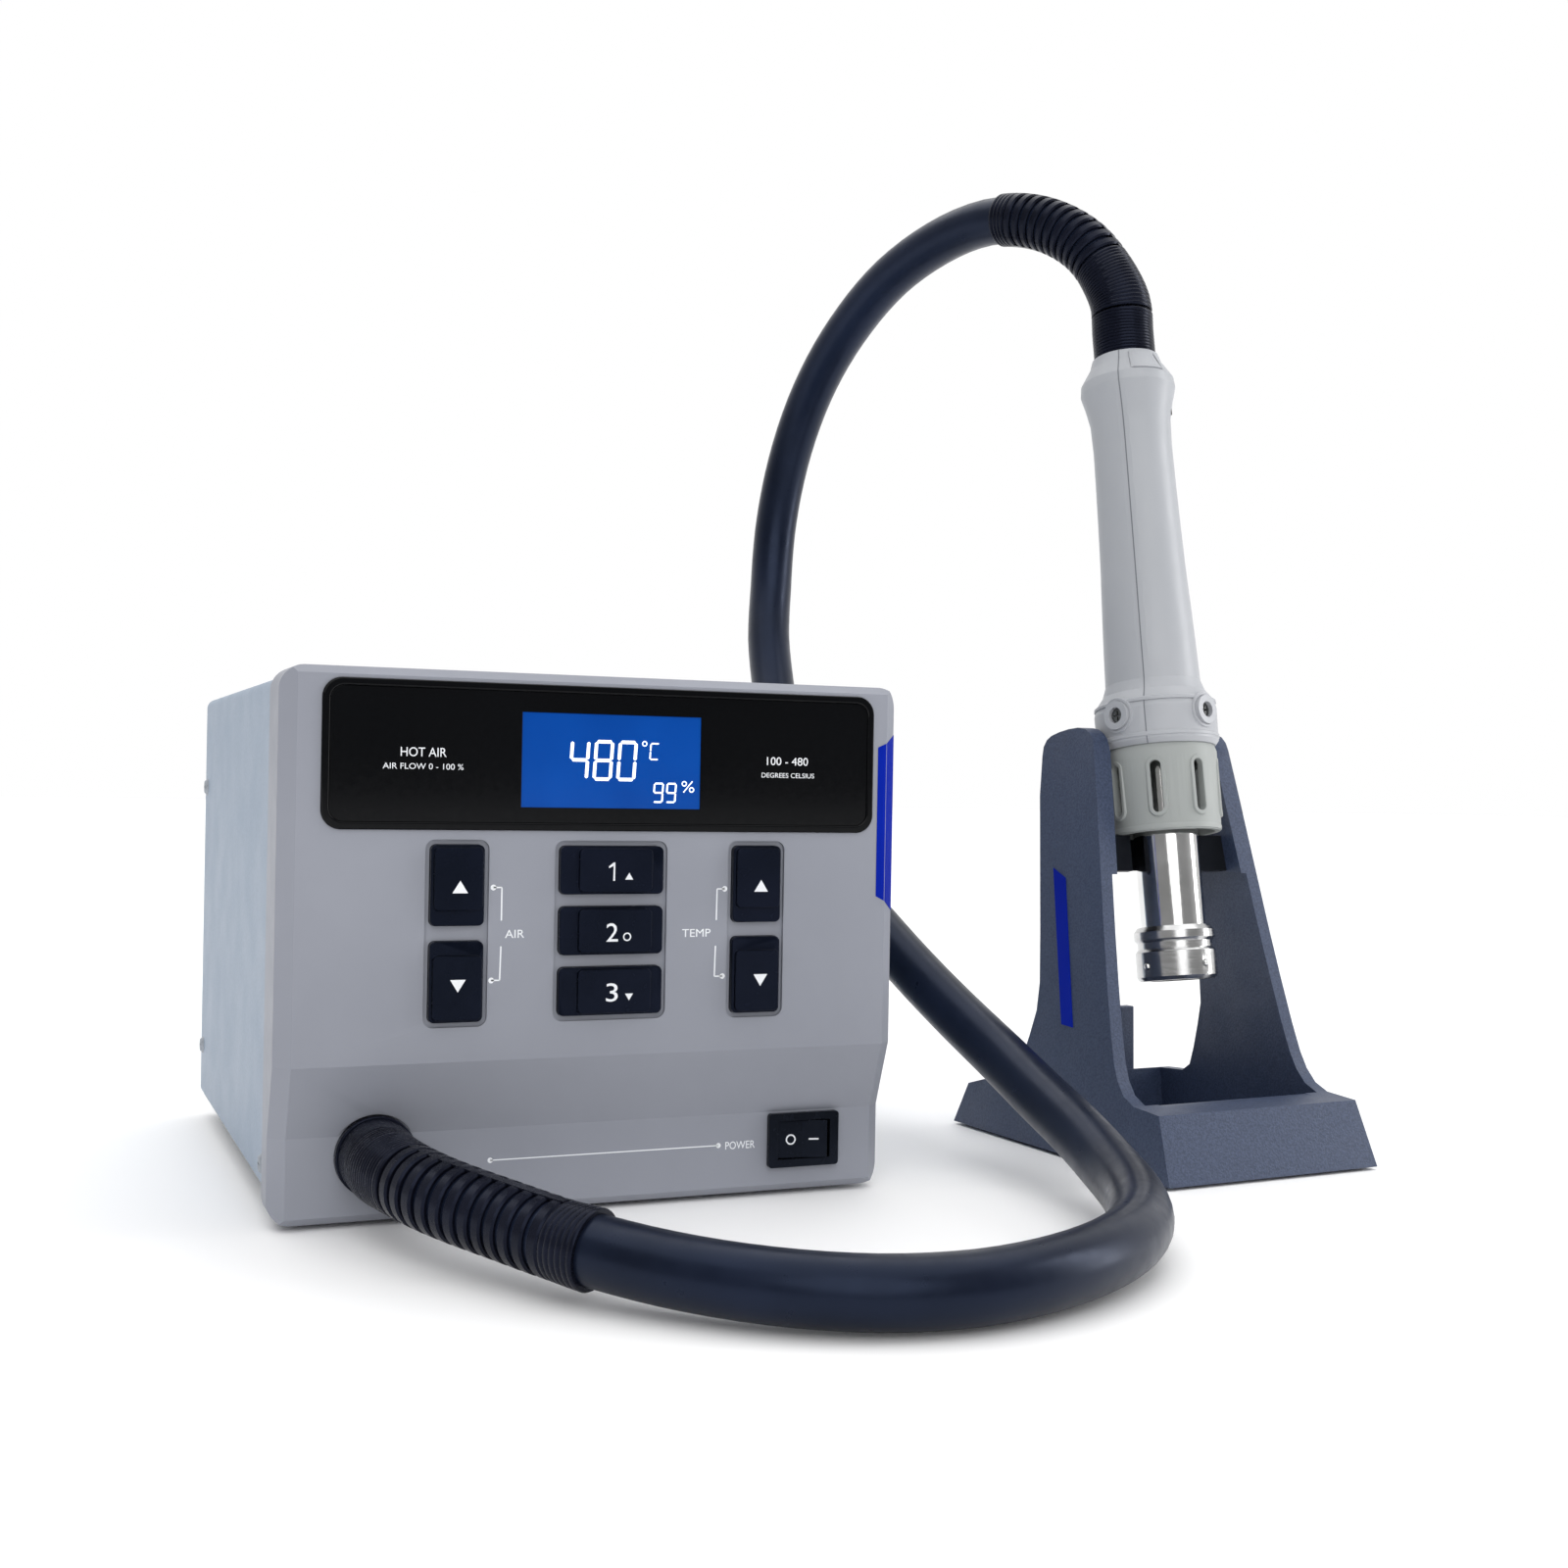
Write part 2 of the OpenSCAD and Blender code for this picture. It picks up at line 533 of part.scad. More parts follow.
// Cross-section of the open space between the two arms and inside the base.
hollow = [[arm_u(hollow_z0, arm_t), hollow_z0], [arm_u(hollow_z1, arm_t), hollow_z1],
  [stand_w - arm_u(hollow_z1, arm_t), hollow_z1], [stand_w - arm_u(hollow_z0, arm_t), hollow_z0]];
module stand_body() {
  color("#4a5068") on_stand() difference() {
    intersection() {
      across(-1, stand_w + 1) polygon(arm_side);
      translate([0, stand_d + 5, 0]) rotate([90, 0, 0]) linear_extrude(stand_d + 10)
        polygon(concat(arm_front, [for (i = [na - 1:-1:0]) [stand_w - arm_front[i][0], arm_front[i][1]]]));
    }
    translate([0, 97, 0]) rotate([90, 0, 0]) linear_extrude(77) polygon(hollow);
    translate([post_u, 100, 12]) cube([post_w, 4, 20]);
    // Seat for the collar of the hand piece between the arm tops.
    at_rest_axis() translate([0, 0, 73]) cylinder(r = seat_r, h = 20);
  }
}
module stand_cradle() {
  color("#101114") on_stand() difference() {
    intersection() {
      at_rest_axis() translate([-30, 1, 35]) cube([60, 19, 11.45]);
      translate([0, 120, 0]) rotate([90, 0, 0]) linear_extrude(120)
        polygon([[arm_u(ledge_z, arm_t + arm_pad), ledge_z], [arm_u(120, arm_t + arm_pad), 120],
          [stand_w - arm_u(120, arm_t + arm_pad), 120],
          [stand_w - arm_u(ledge_z, arm_t + arm_pad), ledge_z]]);
    }
    at_rest_axis() {
      translate([0, 0, 30]) cylinder(r = 13.4, h = 20);
      translate([-13.4, -20, 30]) cube([26.8, 20, 20]);
      translate([0, 16.5, 40]) rotate([-90, 0, 0]) cylinder(d = magnet_d, h = 6);
    }
  }
}
module sleep_magnet() {
  color("#b8bcc0") on_stand() at_rest_axis()
    translate([0, 16.5, 40]) rotate([-90, 0, 0]) cylinder(d = magnet_d, h = 3.4);
}
module nozzle_post() {
  color("#565c74") on_stand() translate([0, 104, 0]) rotate([90, 0, 0]) linear_extrude(4)
    polygon([[post_u, 12], [post_u + post_w, 12], [post_u + post_w - 0.6, 39], [post_u + 3, 39],
      [post_u + 2.9, 29], [post_u + 1.2, 24]]);
}
module stand_pads() {
  color("#1c1d20") on_stand() for (x = [12, stand_w - 12], y = [14, stand_d - 16])
    translate([x, y, 0]) cylinder(r = 5, h = 0.8);
}

// Inside the station --------------------------------------------------------------------------
module blower_housing() {
  color("#24272c") on_station() difference() {
    union() {
      translate([blower_x, blower_y, tray_z]) cylinder(r = blower_r, h = 34);
      translate([outlet_x - 8, duct_y, tray_z]) cube([16, blower_y - duct_y, 22]);
    }
    translate([blower_x, blower_y, tray_z + 2]) cylinder(r = blower_r - 2, h = 30);
    translate([outlet_x - 6, duct_y + 2, tray_z + 2]) cube([12, blower_y - duct_y, 18]);
    ybar(outlet_x, outlet_z, 5.5, duct_y - 1, duct_y + 4);
    for (k = [0:7]) translate([blower_x, blower_y, tray_z + 30]) rotate([0, 0, 45 * k])
      translate([24, 0, 0]) cylinder(r = 5, h = 6, $fn = 32);
    translate([blower_x, blower_y, tray_z + 30]) cylinder(r = 3.3, h = 6);
  }
}
module blower_impeller() {
  color("#d8dadc") on_station() translate([blower_x, blower_y, tray_z + 6]) union() {
    cylinder(r = 31, h = 1.6);
    cylinder(r = 8, h = 18);
    for (k = [0:11]) rotate([0, 0, 30 * k]) translate([7, -0.7, 1]) cube([23, 1.4, 14]);
    cylinder(r = 3, h = 34.2);
  }
}
module blower_motor() {
  color("#5b6066") on_station() difference() {
    translate([blower_x, blower_y, tray_z + 34]) cylinder(r = 16, h = 20);
    translate([blower_x, blower_y, tray_z + 33]) cylinder(r = 3.06, h = 10);
  }
}
module air_duct() {
  color("#2c3036") on_station() difference() {
    ybar(outlet_x, outlet_z, 7.6, join_y, duct_y);
    ybar(outlet_x, outlet_z, 5.5, join_y - 1, duct_y + 1);
  }
}
module board_standoffs() {
  color("#c8b070") on_station() for (x = [14, 72], y = [-44, 56]) translate([x, y, tray_z])
    cylinder(r = 2.6, h = 6);
}
module power_board() {
  color("#2a6844") on_station() union() {
    translate([9, -50, tray_z + 6]) cube([68, 112, 1.6]);
    translate([16, -30, tray_z + 7.6]) cube([32, 34, 28]);
    translate([56, -34, tray_z + 7.6]) cube([12, 40, 36]);
    for (y = [22, 44]) translate([26, y, tray_z + 7.6]) cylinder(r = 8, h = 26);
    translate([48, 20, tray_z + 7.6]) cube([20, 26, 16]);
  }
}
module mains_inlet() {
  color("#141518") on_station() difference() {
    union() {
      upright(rear_y, rear_y + 2.5) translate([inlet_x, inlet_z]) rr(31, 23.4, 3);
      upright(rear_y - 22, rear_y + 0.1) translate([inlet_x, inlet_z]) square([27.5, 19.9], center = true);
    }
    upright(rear_y - 14, rear_y + 4) translate([inlet_x, inlet_z]) square([24.2, 16.6], center = true);
  }
}
module inlet_pins() {
  color("#c9a35a") on_station() for (p = [[-7, -2], [7, -2], [0, 2.2]])
    translate([inlet_x + p[0] - 1, rear_y - 14, inlet_z + p[1] - 2]) cube([2, 11, 4]);
}
module fuse_holder() {
  color("#17181b") on_station() union() {
    ybar(inlet_x, fuse_z, 8, rear_y, rear_y + 3);
    ybar(inlet_x, fuse_z, 6, rear_y - 24, rear_y + 0.1);
  }
}
module rubber_feet() {
  color("#1b1c1f") on_station() for (x = [-66, 66], y = [-48, 74]) translate([x, y, 0])
    cylinder(r1 = 6.5, r2 = 7.5, h = cover_z0);
}
module cover_screw(s, y, z) {
  translate([s * cover_w / 2, y, z]) rotate([0, s * 90, 0]) difference() {
    union() {
      translate([0, 0, -1]) cylinder(r = 1.6, h = 1.1, $fn = 32);
      cylinder(r1 = 2.8, r2 = 2, h = 1, $fn = 32);
    }
    translate([-1.6, -0.3, 0.5]) cube([3.2, 0.6, 1]);
    translate([-0.3, -1.6, 0.5]) cube([0.6, 3.2, 1]);
  }
}
module cover_screws() {
  color("#6d7176") on_station() union() {
    for (s = [-1, 1], z = [24, 110]) cover_screw(s, rear_y - screw_y, z);
    for (s = [-1, 1]) cover_screw(s, join_y + screw_y, 14);
  }
}

base_tray();
top_cover();
rear_panel();
front_bezel();
display_frame();
display_lens();
lcd_module();
control_board();
key_switches();
air_up_key();
air_down_key();
preset_1_key();
preset_2_key();
preset_3_key();
temp_up_key();
temp_down_key();
switch_housing();
switch_rocker();
hose_gland();
gland_nut();
station_relief();
hose();
handle_relief();
handle_shell_left();
handle_shell_right();
handle_screws();
vent_collar();
heater_tube();
heater_core();
heater_coil();
nozzle_ring();
detent_balls();
stand_body();
stand_cradle();
sleep_magnet();
nozzle_post();
stand_pads();
blower_housing();
blower_impeller();
blower_motor();
air_duct();
power_board();
board_standoffs();
mains_inlet();
inlet_pins();
fuse_holder();
rubber_feet();
cover_screws();
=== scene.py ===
"""Looks of the hot air station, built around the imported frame.

Lengths are metres in the row frame, +Z up. Numbers written as millimetres are multiplied by MM:
on the face, x runs to the right of the station's middle and z above the table.
"""
import json
import math

import bmesh
import bpy
from mathutils import Matrix, Vector

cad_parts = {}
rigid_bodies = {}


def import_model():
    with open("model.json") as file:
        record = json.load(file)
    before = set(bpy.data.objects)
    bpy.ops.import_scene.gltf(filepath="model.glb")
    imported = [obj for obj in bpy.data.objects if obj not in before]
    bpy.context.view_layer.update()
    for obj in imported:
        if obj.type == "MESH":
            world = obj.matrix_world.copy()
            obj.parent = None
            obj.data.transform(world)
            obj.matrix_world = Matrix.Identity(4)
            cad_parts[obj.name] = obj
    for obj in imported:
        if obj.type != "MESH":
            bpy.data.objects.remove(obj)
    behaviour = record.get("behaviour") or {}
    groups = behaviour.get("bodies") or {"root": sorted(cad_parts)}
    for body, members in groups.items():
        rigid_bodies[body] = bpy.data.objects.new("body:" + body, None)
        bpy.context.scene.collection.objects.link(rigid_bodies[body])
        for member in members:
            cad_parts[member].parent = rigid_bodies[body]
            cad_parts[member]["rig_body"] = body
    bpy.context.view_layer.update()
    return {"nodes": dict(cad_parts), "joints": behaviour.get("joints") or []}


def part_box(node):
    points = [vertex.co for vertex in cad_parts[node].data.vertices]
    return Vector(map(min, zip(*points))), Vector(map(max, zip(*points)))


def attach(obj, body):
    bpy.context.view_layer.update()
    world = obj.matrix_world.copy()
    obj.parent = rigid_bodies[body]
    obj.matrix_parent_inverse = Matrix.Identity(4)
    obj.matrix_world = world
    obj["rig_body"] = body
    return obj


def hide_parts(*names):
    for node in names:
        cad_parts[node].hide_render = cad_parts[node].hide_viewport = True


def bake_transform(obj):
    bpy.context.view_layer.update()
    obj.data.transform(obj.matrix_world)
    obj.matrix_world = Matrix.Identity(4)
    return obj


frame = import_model()
nodes = frame["nodes"]

MM = 0.001
BASE = "station_and_stand"
HAND = "hand_piece"

# Places taken from the frame ---------------------------------------------------------
bezel_low, bezel_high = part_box("front_bezel")
LOW_FACE_DEPTH = 7.2
FACE_AHEAD = 92
CASE_X = (bezel_low.x + bezel_high.x) / 2
FACE_Y = bezel_low.y
LOW_FACE_Y = FACE_Y + LOW_FACE_DEPTH * MM
STATION_Y = FACE_Y + FACE_AHEAD * MM
STAND_CORNER = Vector((CASE_X + 161 * MM, STATION_Y - 116 * MM, 0))
STAND_TURN = math.radians(4)
HAND_TURN = math.radians(-48.5)
TUBE_MIDDLE = 48
lift_joint = [joint for joint in frame["joints"] if joint["name"] == "hand_piece_lift"][0]
AXIS = Vector(lift_joint["axis"]).normalized()
tube_low, tube_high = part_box("heater_tube")
NOZZLE = (tube_low + tube_high) / 2 - AXIS * TUBE_MIDDLE * MM


def on_face(x, z, lift=0.0):
    """Point of the upper face, in front of it by lift (all in millimetres)."""
    return Vector((CASE_X + x * MM, FACE_Y - lift * MM, z * MM))


def on_low_face(x, z, lift=0.0):
    """Point of the lower, set-back part of the face."""
    return Vector((CASE_X + x * MM, LOW_FACE_Y - lift * MM, z * MM))


def on_hand(angle, along, radius):
    """Point around the hand piece: degrees about its axis, millimetres up it and out from it."""
    side = Vector((math.cos(STAND_TURN), math.sin(STAND_TURN), 0))
    across = AXIS.cross(side).normalized()
    side = across.cross(AXIS).normalized()
    turn = math.radians(angle) + HAND_TURN
    out = side * math.cos(turn) + across * math.sin(turn)
    return NOZZLE + AXIS * along * MM + out * radius * MM


# Camera, light and floor ---------------------------------------------------------------
CAMERA_PLACE = Vector((-0.22525, -0.54264, 0.11323))
CAMERA_YAW = math.radians(23.113)
CAMERA_PITCH = math.radians(0.104)
CAMERA_ROLL = math.radians(1.002)
CAMERA_LENS = 42.136
BRIGHT_SIDE = (0.39, 0.92, 0.05)
LIT_POINT = Vector((0, 0, 0.12))
FLOOR_HALF = 9
FLOOR_Z = -0.0002


def add_camera():
    """Camera at the viewing angle of the product shot."""
    ahead = Vector((math.sin(CAMERA_YAW) * math.cos(CAMERA_PITCH),
                    math.cos(CAMERA_YAW) * math.cos(CAMERA_PITCH), math.sin(CAMERA_PITCH)))
    level = Vector((math.cos(CAMERA_YAW), -math.sin(CAMERA_YAW), 0))
    upward = level.cross(ahead)
    right = level * math.cos(CAMERA_ROLL) + upward * math.sin(CAMERA_ROLL)
    up = upward * math.cos(CAMERA_ROLL) - level * math.sin(CAMERA_ROLL)
    camera = bpy.data.objects.new("camera", bpy.data.cameras.new("camera"))
    bpy.context.scene.collection.objects.link(camera)
    turn = Matrix((right, up, -ahead)).transposed().to_4x4()
    camera.matrix_world = Matrix.Translation(CAMERA_PLACE) @ turn
    camera.data.lens = CAMERA_LENS
    camera.data.sensor_width = 36
    camera.data.clip_start = 0.02
    bpy.context.scene.camera = camera
    bpy.context.scene.view_settings.view_transform = "Standard"


def add_light(name, kind, place, power):
    """Light at place that points at the middle of the object."""
    lamp = bpy.data.lights.new(name, kind)
    lamp.energy = power
    light = bpy.data.objects.new(name, lamp)
    bpy.context.scene.collection.objects.link(light)
    light.location = place
    light.rotation_euler = (LIT_POINT - Vector(place)).to_track_quat("-Z", "Y").to_euler()
    return lamp


def add_sky():
    """White surround, dimmer on the viewer's side: round shapes get a dark middle and bright edges."""
    world = bpy.data.worlds.new("studio")
    bpy.context.scene.world = world
    world.use_nodes = True
    tree = world.node_tree
    place = tree.nodes.new("ShaderNodeTexCoord")
    facing = tree.nodes.new("ShaderNodeVectorMath")
    facing.operation = "DOT_PRODUCT"
    facing.inputs[1].default_value = BRIGHT_SIDE
    spread = tree.nodes.new("ShaderNodeMapRange")
    for socket, value in (("From Min", -0.5), ("From Max", 0.8),
                          ("To Min", 0.3), ("To Max", 1.0)):
        spread.inputs[socket].default_value = value
    tree.links.new(place.outputs["Generated"], facing.inputs[0])
    tree.links.new(facing.outputs["Value"], spread.inputs["Value"])
    tree.links.new(spread.outputs["Result"], tree.nodes["Background"].inputs["Strength"])
    tree.nodes["Background"].inputs["Color"].default_value = (1.0, 1.0, 1.0, 1.0)


def add_studio():
    """Soft light all round and a pale floor."""
    add_sky()
    add_light("key_light", "SUN", (-0.5, -1.6, 1.2), 1.15).angle = math.radians(50)
    add_light("top_light", "SUN", (-0.1, 0.2, 2.0), 1.5).angle = math.radians(80)
    side = add_light("side_light", "AREA", (1.7, -0.6, 0.7), 12)
    side.shape = "RECTANGLE"
    side.size, side.size_y = 0.5, 1.4
    form = bmesh.new()
    form.faces.new([form.verts.new((x * FLOOR_HALF, y * FLOOR_HALF, FLOOR_Z))
                    for x, y in ((-1, -1), (1, -1), (1, 1), (-1, 1))])
    mesh = bpy.data.meshes.new("floor")
    form.to_mesh(mesh)
    form.free()
    mesh.materials.append(floor_finish())
    floor = bpy.data.objects.new("floor", mesh)
    bpy.context.scene.collection.objects.link(floor)


# Materials -------------------------------------------------------------------------------
def tint(red, green, blue):
    """Linear colour of an 8-bit display colour."""
    def linear(c):
        c /= 255
        return c / 12.92 if c <= 0.04045 else ((c + 0.055) / 1.055) ** 2.4
    return (linear(red), linear(green), linear(blue), 1.0)


class Finish:
    """A procedural material built up on the Principled shader."""

    def __init__(self, name, **sockets):
        self.material = bpy.data.materials.new(name)
        self.material.use_nodes = True
        self.tree = self.material.node_tree
        self.shader = self.tree.nodes["Principled BSDF"]
        self.place = self.tree.nodes.new("ShaderNodeTexCoord").outputs["Object"]
        self.last_bump = None
        for socket, value in sockets.items():
            self.shader.inputs[socket.replace("_", " ")].default_value = value

    def stretched(self, stretch):
        """Coordinates scaled apart along the axes, for brushed or drawn surfaces."""
        mapping = self.tree.nodes.new("ShaderNodeMapping")
        mapping.inputs["Scale"].default_value = stretch
        self.tree.links.new(self.place, mapping.inputs["Vector"])
        return mapping.outputs["Vector"]

    def noise(self, scale, detail=3.0, stretch=None, roughness=0.55):
        """Noise value with that many cells to the metre."""
        node = self.tree.nodes.new("ShaderNodeTexNoise")
        node.inputs["Scale"].default_value = scale
        node.inputs["Detail"].default_value = detail
        node.inputs["Roughness"].default_value = roughness
        place = self.stretched(stretch) if stretch else self.place
        self.tree.links.new(place, node.inputs["Vector"])
        return node.outputs["Fac"]

    def ramp(self, value, low, high, from_low=0.3, from_high=0.7):
        """Maps a value's range from_low to from_high onto low to high."""
        node = self.tree.nodes.new("ShaderNodeMapRange")
        for socket, number in (("From Min", from_low), ("From Max", from_high),
                               ("To Min", low), ("To Max", high)):
            node.inputs[socket].default_value = number
        self.tree.links.new(value, node.inputs["Value"])
        return node.outputs["Result"]

    def colour(self, value, dark, light, from_low=0.3, from_high=0.7):
        """Base colour running from dark to light with value."""
        node = self.tree.nodes.new("ShaderNodeMix")
        node.data_type = "RGBA"
        node.inputs[6].default_value = dark
        node.inputs[7].default_value = light
        self.tree.links.new(self.ramp(value, 0, 1, from_low, from_high), node.inputs[0])
        self.tree.links.new(node.outputs[2], self.shader.inputs["Base Color"])
        return self

    def gloss(self, value, low, high):
        """Roughness running from low to high with value."""
        self.tree.links.new(self.ramp(value, low, high), self.shader.inputs["Roughness"])
        return self

    def relief(self, value, strength, distance):
        """Adds a bump layer of that height in metres."""
        node = self.tree.nodes.new("ShaderNodeBump")
        node.inputs["Strength"].default_value = strength
        node.inputs["Distance"].default_value = distance
        self.tree.links.new(value, node.inputs["Height"])
        if self.last_bump is not None:
            self.tree.links.new(self.last_bump, node.inputs["Normal"])
        self.last_bump = node.outputs["Normal"]
        self.tree.links.new(self.last_bump, self.shader.inputs["Normal"])
        return self


def moulded(name, dark, light, rough=(0.42, 0.52), grain=2600, height=0.00003, patch=14, **sockets):
    """Moulded plastic: slight colour drift, fine spark-eroded grain."""
    made = Finish(name, **sockets)
    fine = made.noise(grain, 2.0)
    made.colour(made.noise(patch, 4.0), dark, light).gloss(made.noise(patch * 9, 3.0), *rough)
    return made.relief(fine, 0.35, height).material


def painted(name, dark, light, rough=(0.5, 0.62), grain=1500, height=0.00008, **sockets):
    """Powder-coated metal: speckled colour over a pebbled surface."""
    made = Finish(name, **sockets)
    pebble = made.noise(grain, 2.5, roughness=0.6)
    made.colour(pebble, dark, light, 0.35, 0.65).gloss(made.noise(60, 3.0), *rough)
    made.relief(made.noise(grain / 4, 2.0), 0.15, height * 2)
    return made.relief(pebble, 0.5, height).material


def drawn_metal(name, dark, light, rough=(0.08, 0.2), along=(1, 1, 0.02), grain=3000, height=0.000004):
    """Bare metal with fine lines along one direction and faint handling marks."""
    made = Finish(name, Metallic=1.0)
    lines = made.noise(grain, 2.0, stretch=along)
    made.colour(made.noise(45, 4.0), dark, light).gloss(lines, *rough)
    return made.relief(lines, 0.3, height).material


def floor_finish():
    made = Finish("studio_floor", Roughness=0.6)
    made.colour(made.noise(3, 2.0), tint(247, 247, 248), tint(252, 252, 252))
    return made.material


def lit_screen():
    """Back-lit blue glass with a slow change of brightness and a hair-fine cell pattern."""
    made = Finish("screen_blue", Roughness=0.12, Emission_Strength=0.12, Specular_IOR_Level=0.15)
    made.colour(made.noise(30, 2.0), tint(0, 56, 134), tint(4, 68, 152))
    node = made.tree.nodes.new("ShaderNodeMix")
    node.data_type = "RGBA"
    node.inputs[6].default_value = tint(0, 66, 158)
    node.inputs[7].default_value = tint(6, 92, 196)
    made.tree.links.new(made.ramp(made.noise(26, 2.0), 0, 1), node.inputs[0])
    made.tree.links.new(node.outputs[2], made.shader.inputs["Emission Color"])
    return made.relief(made.noise(6000, 1.0), 0.1, 0.00001).material


def lit_mark():
    made = Finish("screen_white", Roughness=0.3, Emission_Strength=0.75)
    made.shader.inputs["Emission Color"].default_value = tint(235, 245, 255)
    made.colour(made.noise(300, 2.0), tint(225, 238, 250), tint(250, 252, 255))
    return made.material


def dark_glass():
    """Glossy smoked window with dust-fine variation."""
    made = Finish("window_black", Specular_IOR_Level=0.15)
    made.colour(made.noise(8, 3.0), tint(3, 4, 6), tint(9, 10, 13))
    made.gloss(made.noise(500, 3.0), 0.06, 0.11)
    return made.relief(made.noise(25, 2.0), 0.05, 0.00002).material


def hose_skin():
    """Smooth dark blue-black silicone with slow unevenness and fine lengthwise scuffs."""
    made = Finish("hose_silicone", Specular_IOR_Level=0.35, Specular_Tint=tint(170, 190, 235))
    made.colour(made.noise(22, 5.0), tint(8, 12, 23), tint(21, 27, 43))
    made.gloss(made.noise(180, 4.0), 0.27, 0.38)
    made.relief(made.noise(70, 2.0), 0.2, 0.0002)
    return made.relief(made.noise(2200, 2.0), 0.2, 0.00002).material


def worn_black(name, dark, light, rough):
    """Glossy black moulding with paler handled spots."""
    return moulded(name, dark, light, rough, grain=3500, height=0.00001, patch=40,
                   Specular_IOR_Level=0.18, Specular_Tint=tint(180, 195, 240))


def circuit_green():
    made = Finish("circuit_green", Roughness=0.35)
    tracks = made.noise(260, 1.0, stretch=(1, 1, 0.2))
    made.colour(tracks, tint(18, 70, 42), tint(48, 112, 70), 0.45, 0.55)
    return made.relief(tracks, 0.3, 0.00004).material


BEZEL = moulded("bezel_plastic", tint(136, 139, 149), tint(144, 147, 157), grain=2400)
COVER = painted("cover_paint", tint(128, 144, 163), tint(137, 153, 172), rough=(0.4, 0.5),
                grain=1100, height=0.00005)
PANEL = painted("panel_zinc", tint(150, 155, 162), tint(166, 171, 178), grain=900, Metallic=0.4)
KEY = worn_black("key_plastic", tint(3, 6, 14), tint(10, 14, 26), (0.2, 0.28))
SWITCH = worn_black("switch_plastic", tint(8, 10, 14), tint(20, 23, 28), (0.18, 0.3))
RELIEF = worn_black("relief_plastic", tint(9, 10, 17), tint(20, 22, 33), (0.24, 0.3))
BLACK = worn_black("inner_black", tint(10, 11, 13), tint(26, 28, 31), (0.3, 0.45))
RUBBER = moulded("foot_rubber", tint(18, 19, 21), tint(34, 35, 38), (0.65, 0.8), grain=1200, height=0.00006)
GLASS = dark_glass()
SCREEN = lit_screen()
MARK = lit_mark()
HOSE = hose_skin()
SHELL = moulded("shell_plastic", tint(161, 164, 169), tint(171, 173, 178), (0.36, 0.46),
                grain=3000, height=0.00002)
COLLAR = moulded("collar_plastic", tint(146, 150, 149), tint(157, 161, 159), (0.42, 0.55), grain=2600)
STEEL = drawn_metal("tube_steel", tint(196, 196, 194), tint(226, 226, 226), (0.06, 0.16))
TURNED = drawn_metal("ring_steel", tint(178, 178, 178), tint(214, 214, 214), (0.14, 0.26),
                     along=(0.05, 0.05, 1))
SCREW = drawn_metal("screw_steel", tint(88, 90, 90), tint(130, 132, 132), (0.25, 0.4),
                    along=(1, 1, 1), grain=1500)
BRASS = drawn_metal("pin_brass", tint(190, 150, 84), tint(216, 178, 110), (0.2, 0.34), grain=1500)
STAND = painted("stand_paint", tint(43, 54, 78), tint(60, 72, 98), rough=(0.42, 0.56),
                grain=1500, height=0.00012)
CERAMIC = moulded("ceramic", tint(214, 206, 188), tint(236, 230, 216), (0.6, 0.75),
                  grain=900, height=0.00008)
WIRE = drawn_metal("heater_wire", tint(120, 100, 84), tint(168, 148, 128), (0.35, 0.5), grain=900)
BOARD = circuit_green()
WHITE_INK = moulded("print_white", tint(226, 229, 234), tint(242, 244, 247), (0.45, 0.6),
                    grain=4000, height=0.000005)
BLUE_FILM = moulded("film_blue", tint(2, 26, 140), tint(5, 36, 164), (0.32, 0.42),
                    grain=3500, height=0.000008, Specular_IOR_Level=0.05)
# Dark grey of the shell seams: painted shade of the groove where the two shells meet.
SEAM_SHADE = moulded("seam_painted_shade", tint(104, 107, 113), tint(122, 125, 131), (0.5, 0.6),
               grain=3000, height=0.00001)
# Near-black of the lanyard hole: painted shade of its inside.
HOLE_SHADE = moulded("painted_hole_shade", tint(20, 21, 23), tint(36, 37, 40), (0.6, 0.7),
               grain=3000, height=0.00001)


# Mesh helpers ------------------------------------------------------------------------------
def add_piece(name, form, material, body, sharp=35, turn_out=True):
    """Makes a named piece from a bmesh, shaded smooth up to sharp degrees, riding on a body."""
    if turn_out:
        bmesh.ops.recalc_face_normals(form, faces=form.faces)
    mesh = bpy.data.meshes.new(name)
    form.to_mesh(mesh)
    form.free()
    mesh.materials.append(material)
    mesh.shade_smooth()
    mesh.set_sharp_from_angle(angle=math.radians(sharp))
    piece = bpy.data.objects.new(name, mesh)
    bpy.context.scene.collection.objects.link(piece)
    if body:
        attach(piece, body)
    return piece


def body_of(node):
    return nodes[node]["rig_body"]


def rounded(node, width, material, share=None, angle=32, clamp=True):
    """Stands for a CAD node: a copy whose edges sharper than angle degrees are rounded.

    width is in millimetres, and share(middle of an edge) gives how much of it that edge takes.
    With clamp, the smallest edges limit the width.
    """
    form = bmesh.new()
    form.from_mesh(nodes[node].data)
    bmesh.ops.remove_doubles(form, verts=form.verts, dist=1e-6)
    bmesh.ops.dissolve_limit(form, angle_limit=math.radians(0.5), verts=form.verts, edges=form.edges)
    weights = form.edges.layers.float.new("bevel_weight_edge")
    for edge in form.edges:
        if len(edge.link_faces) == 2 and edge.calc_face_angle(0) > math.radians(angle):
            edge[weights] = share((edge.verts[0].co + edge.verts[1].co) / 2) if share else 1.0
    piece = add_piece(node + "_finished", form, material, body_of(node), sharp=angle, turn_out=False)
    bevel = piece.modifiers.new("rounding", "BEVEL")
    bevel.limit_method = "WEIGHT"
    bevel.width = width * MM
    bevel.segments = 3
    bevel.use_clamp_overlap = clamp
    bevel.harden_normals = True
    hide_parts(node)
    return piece


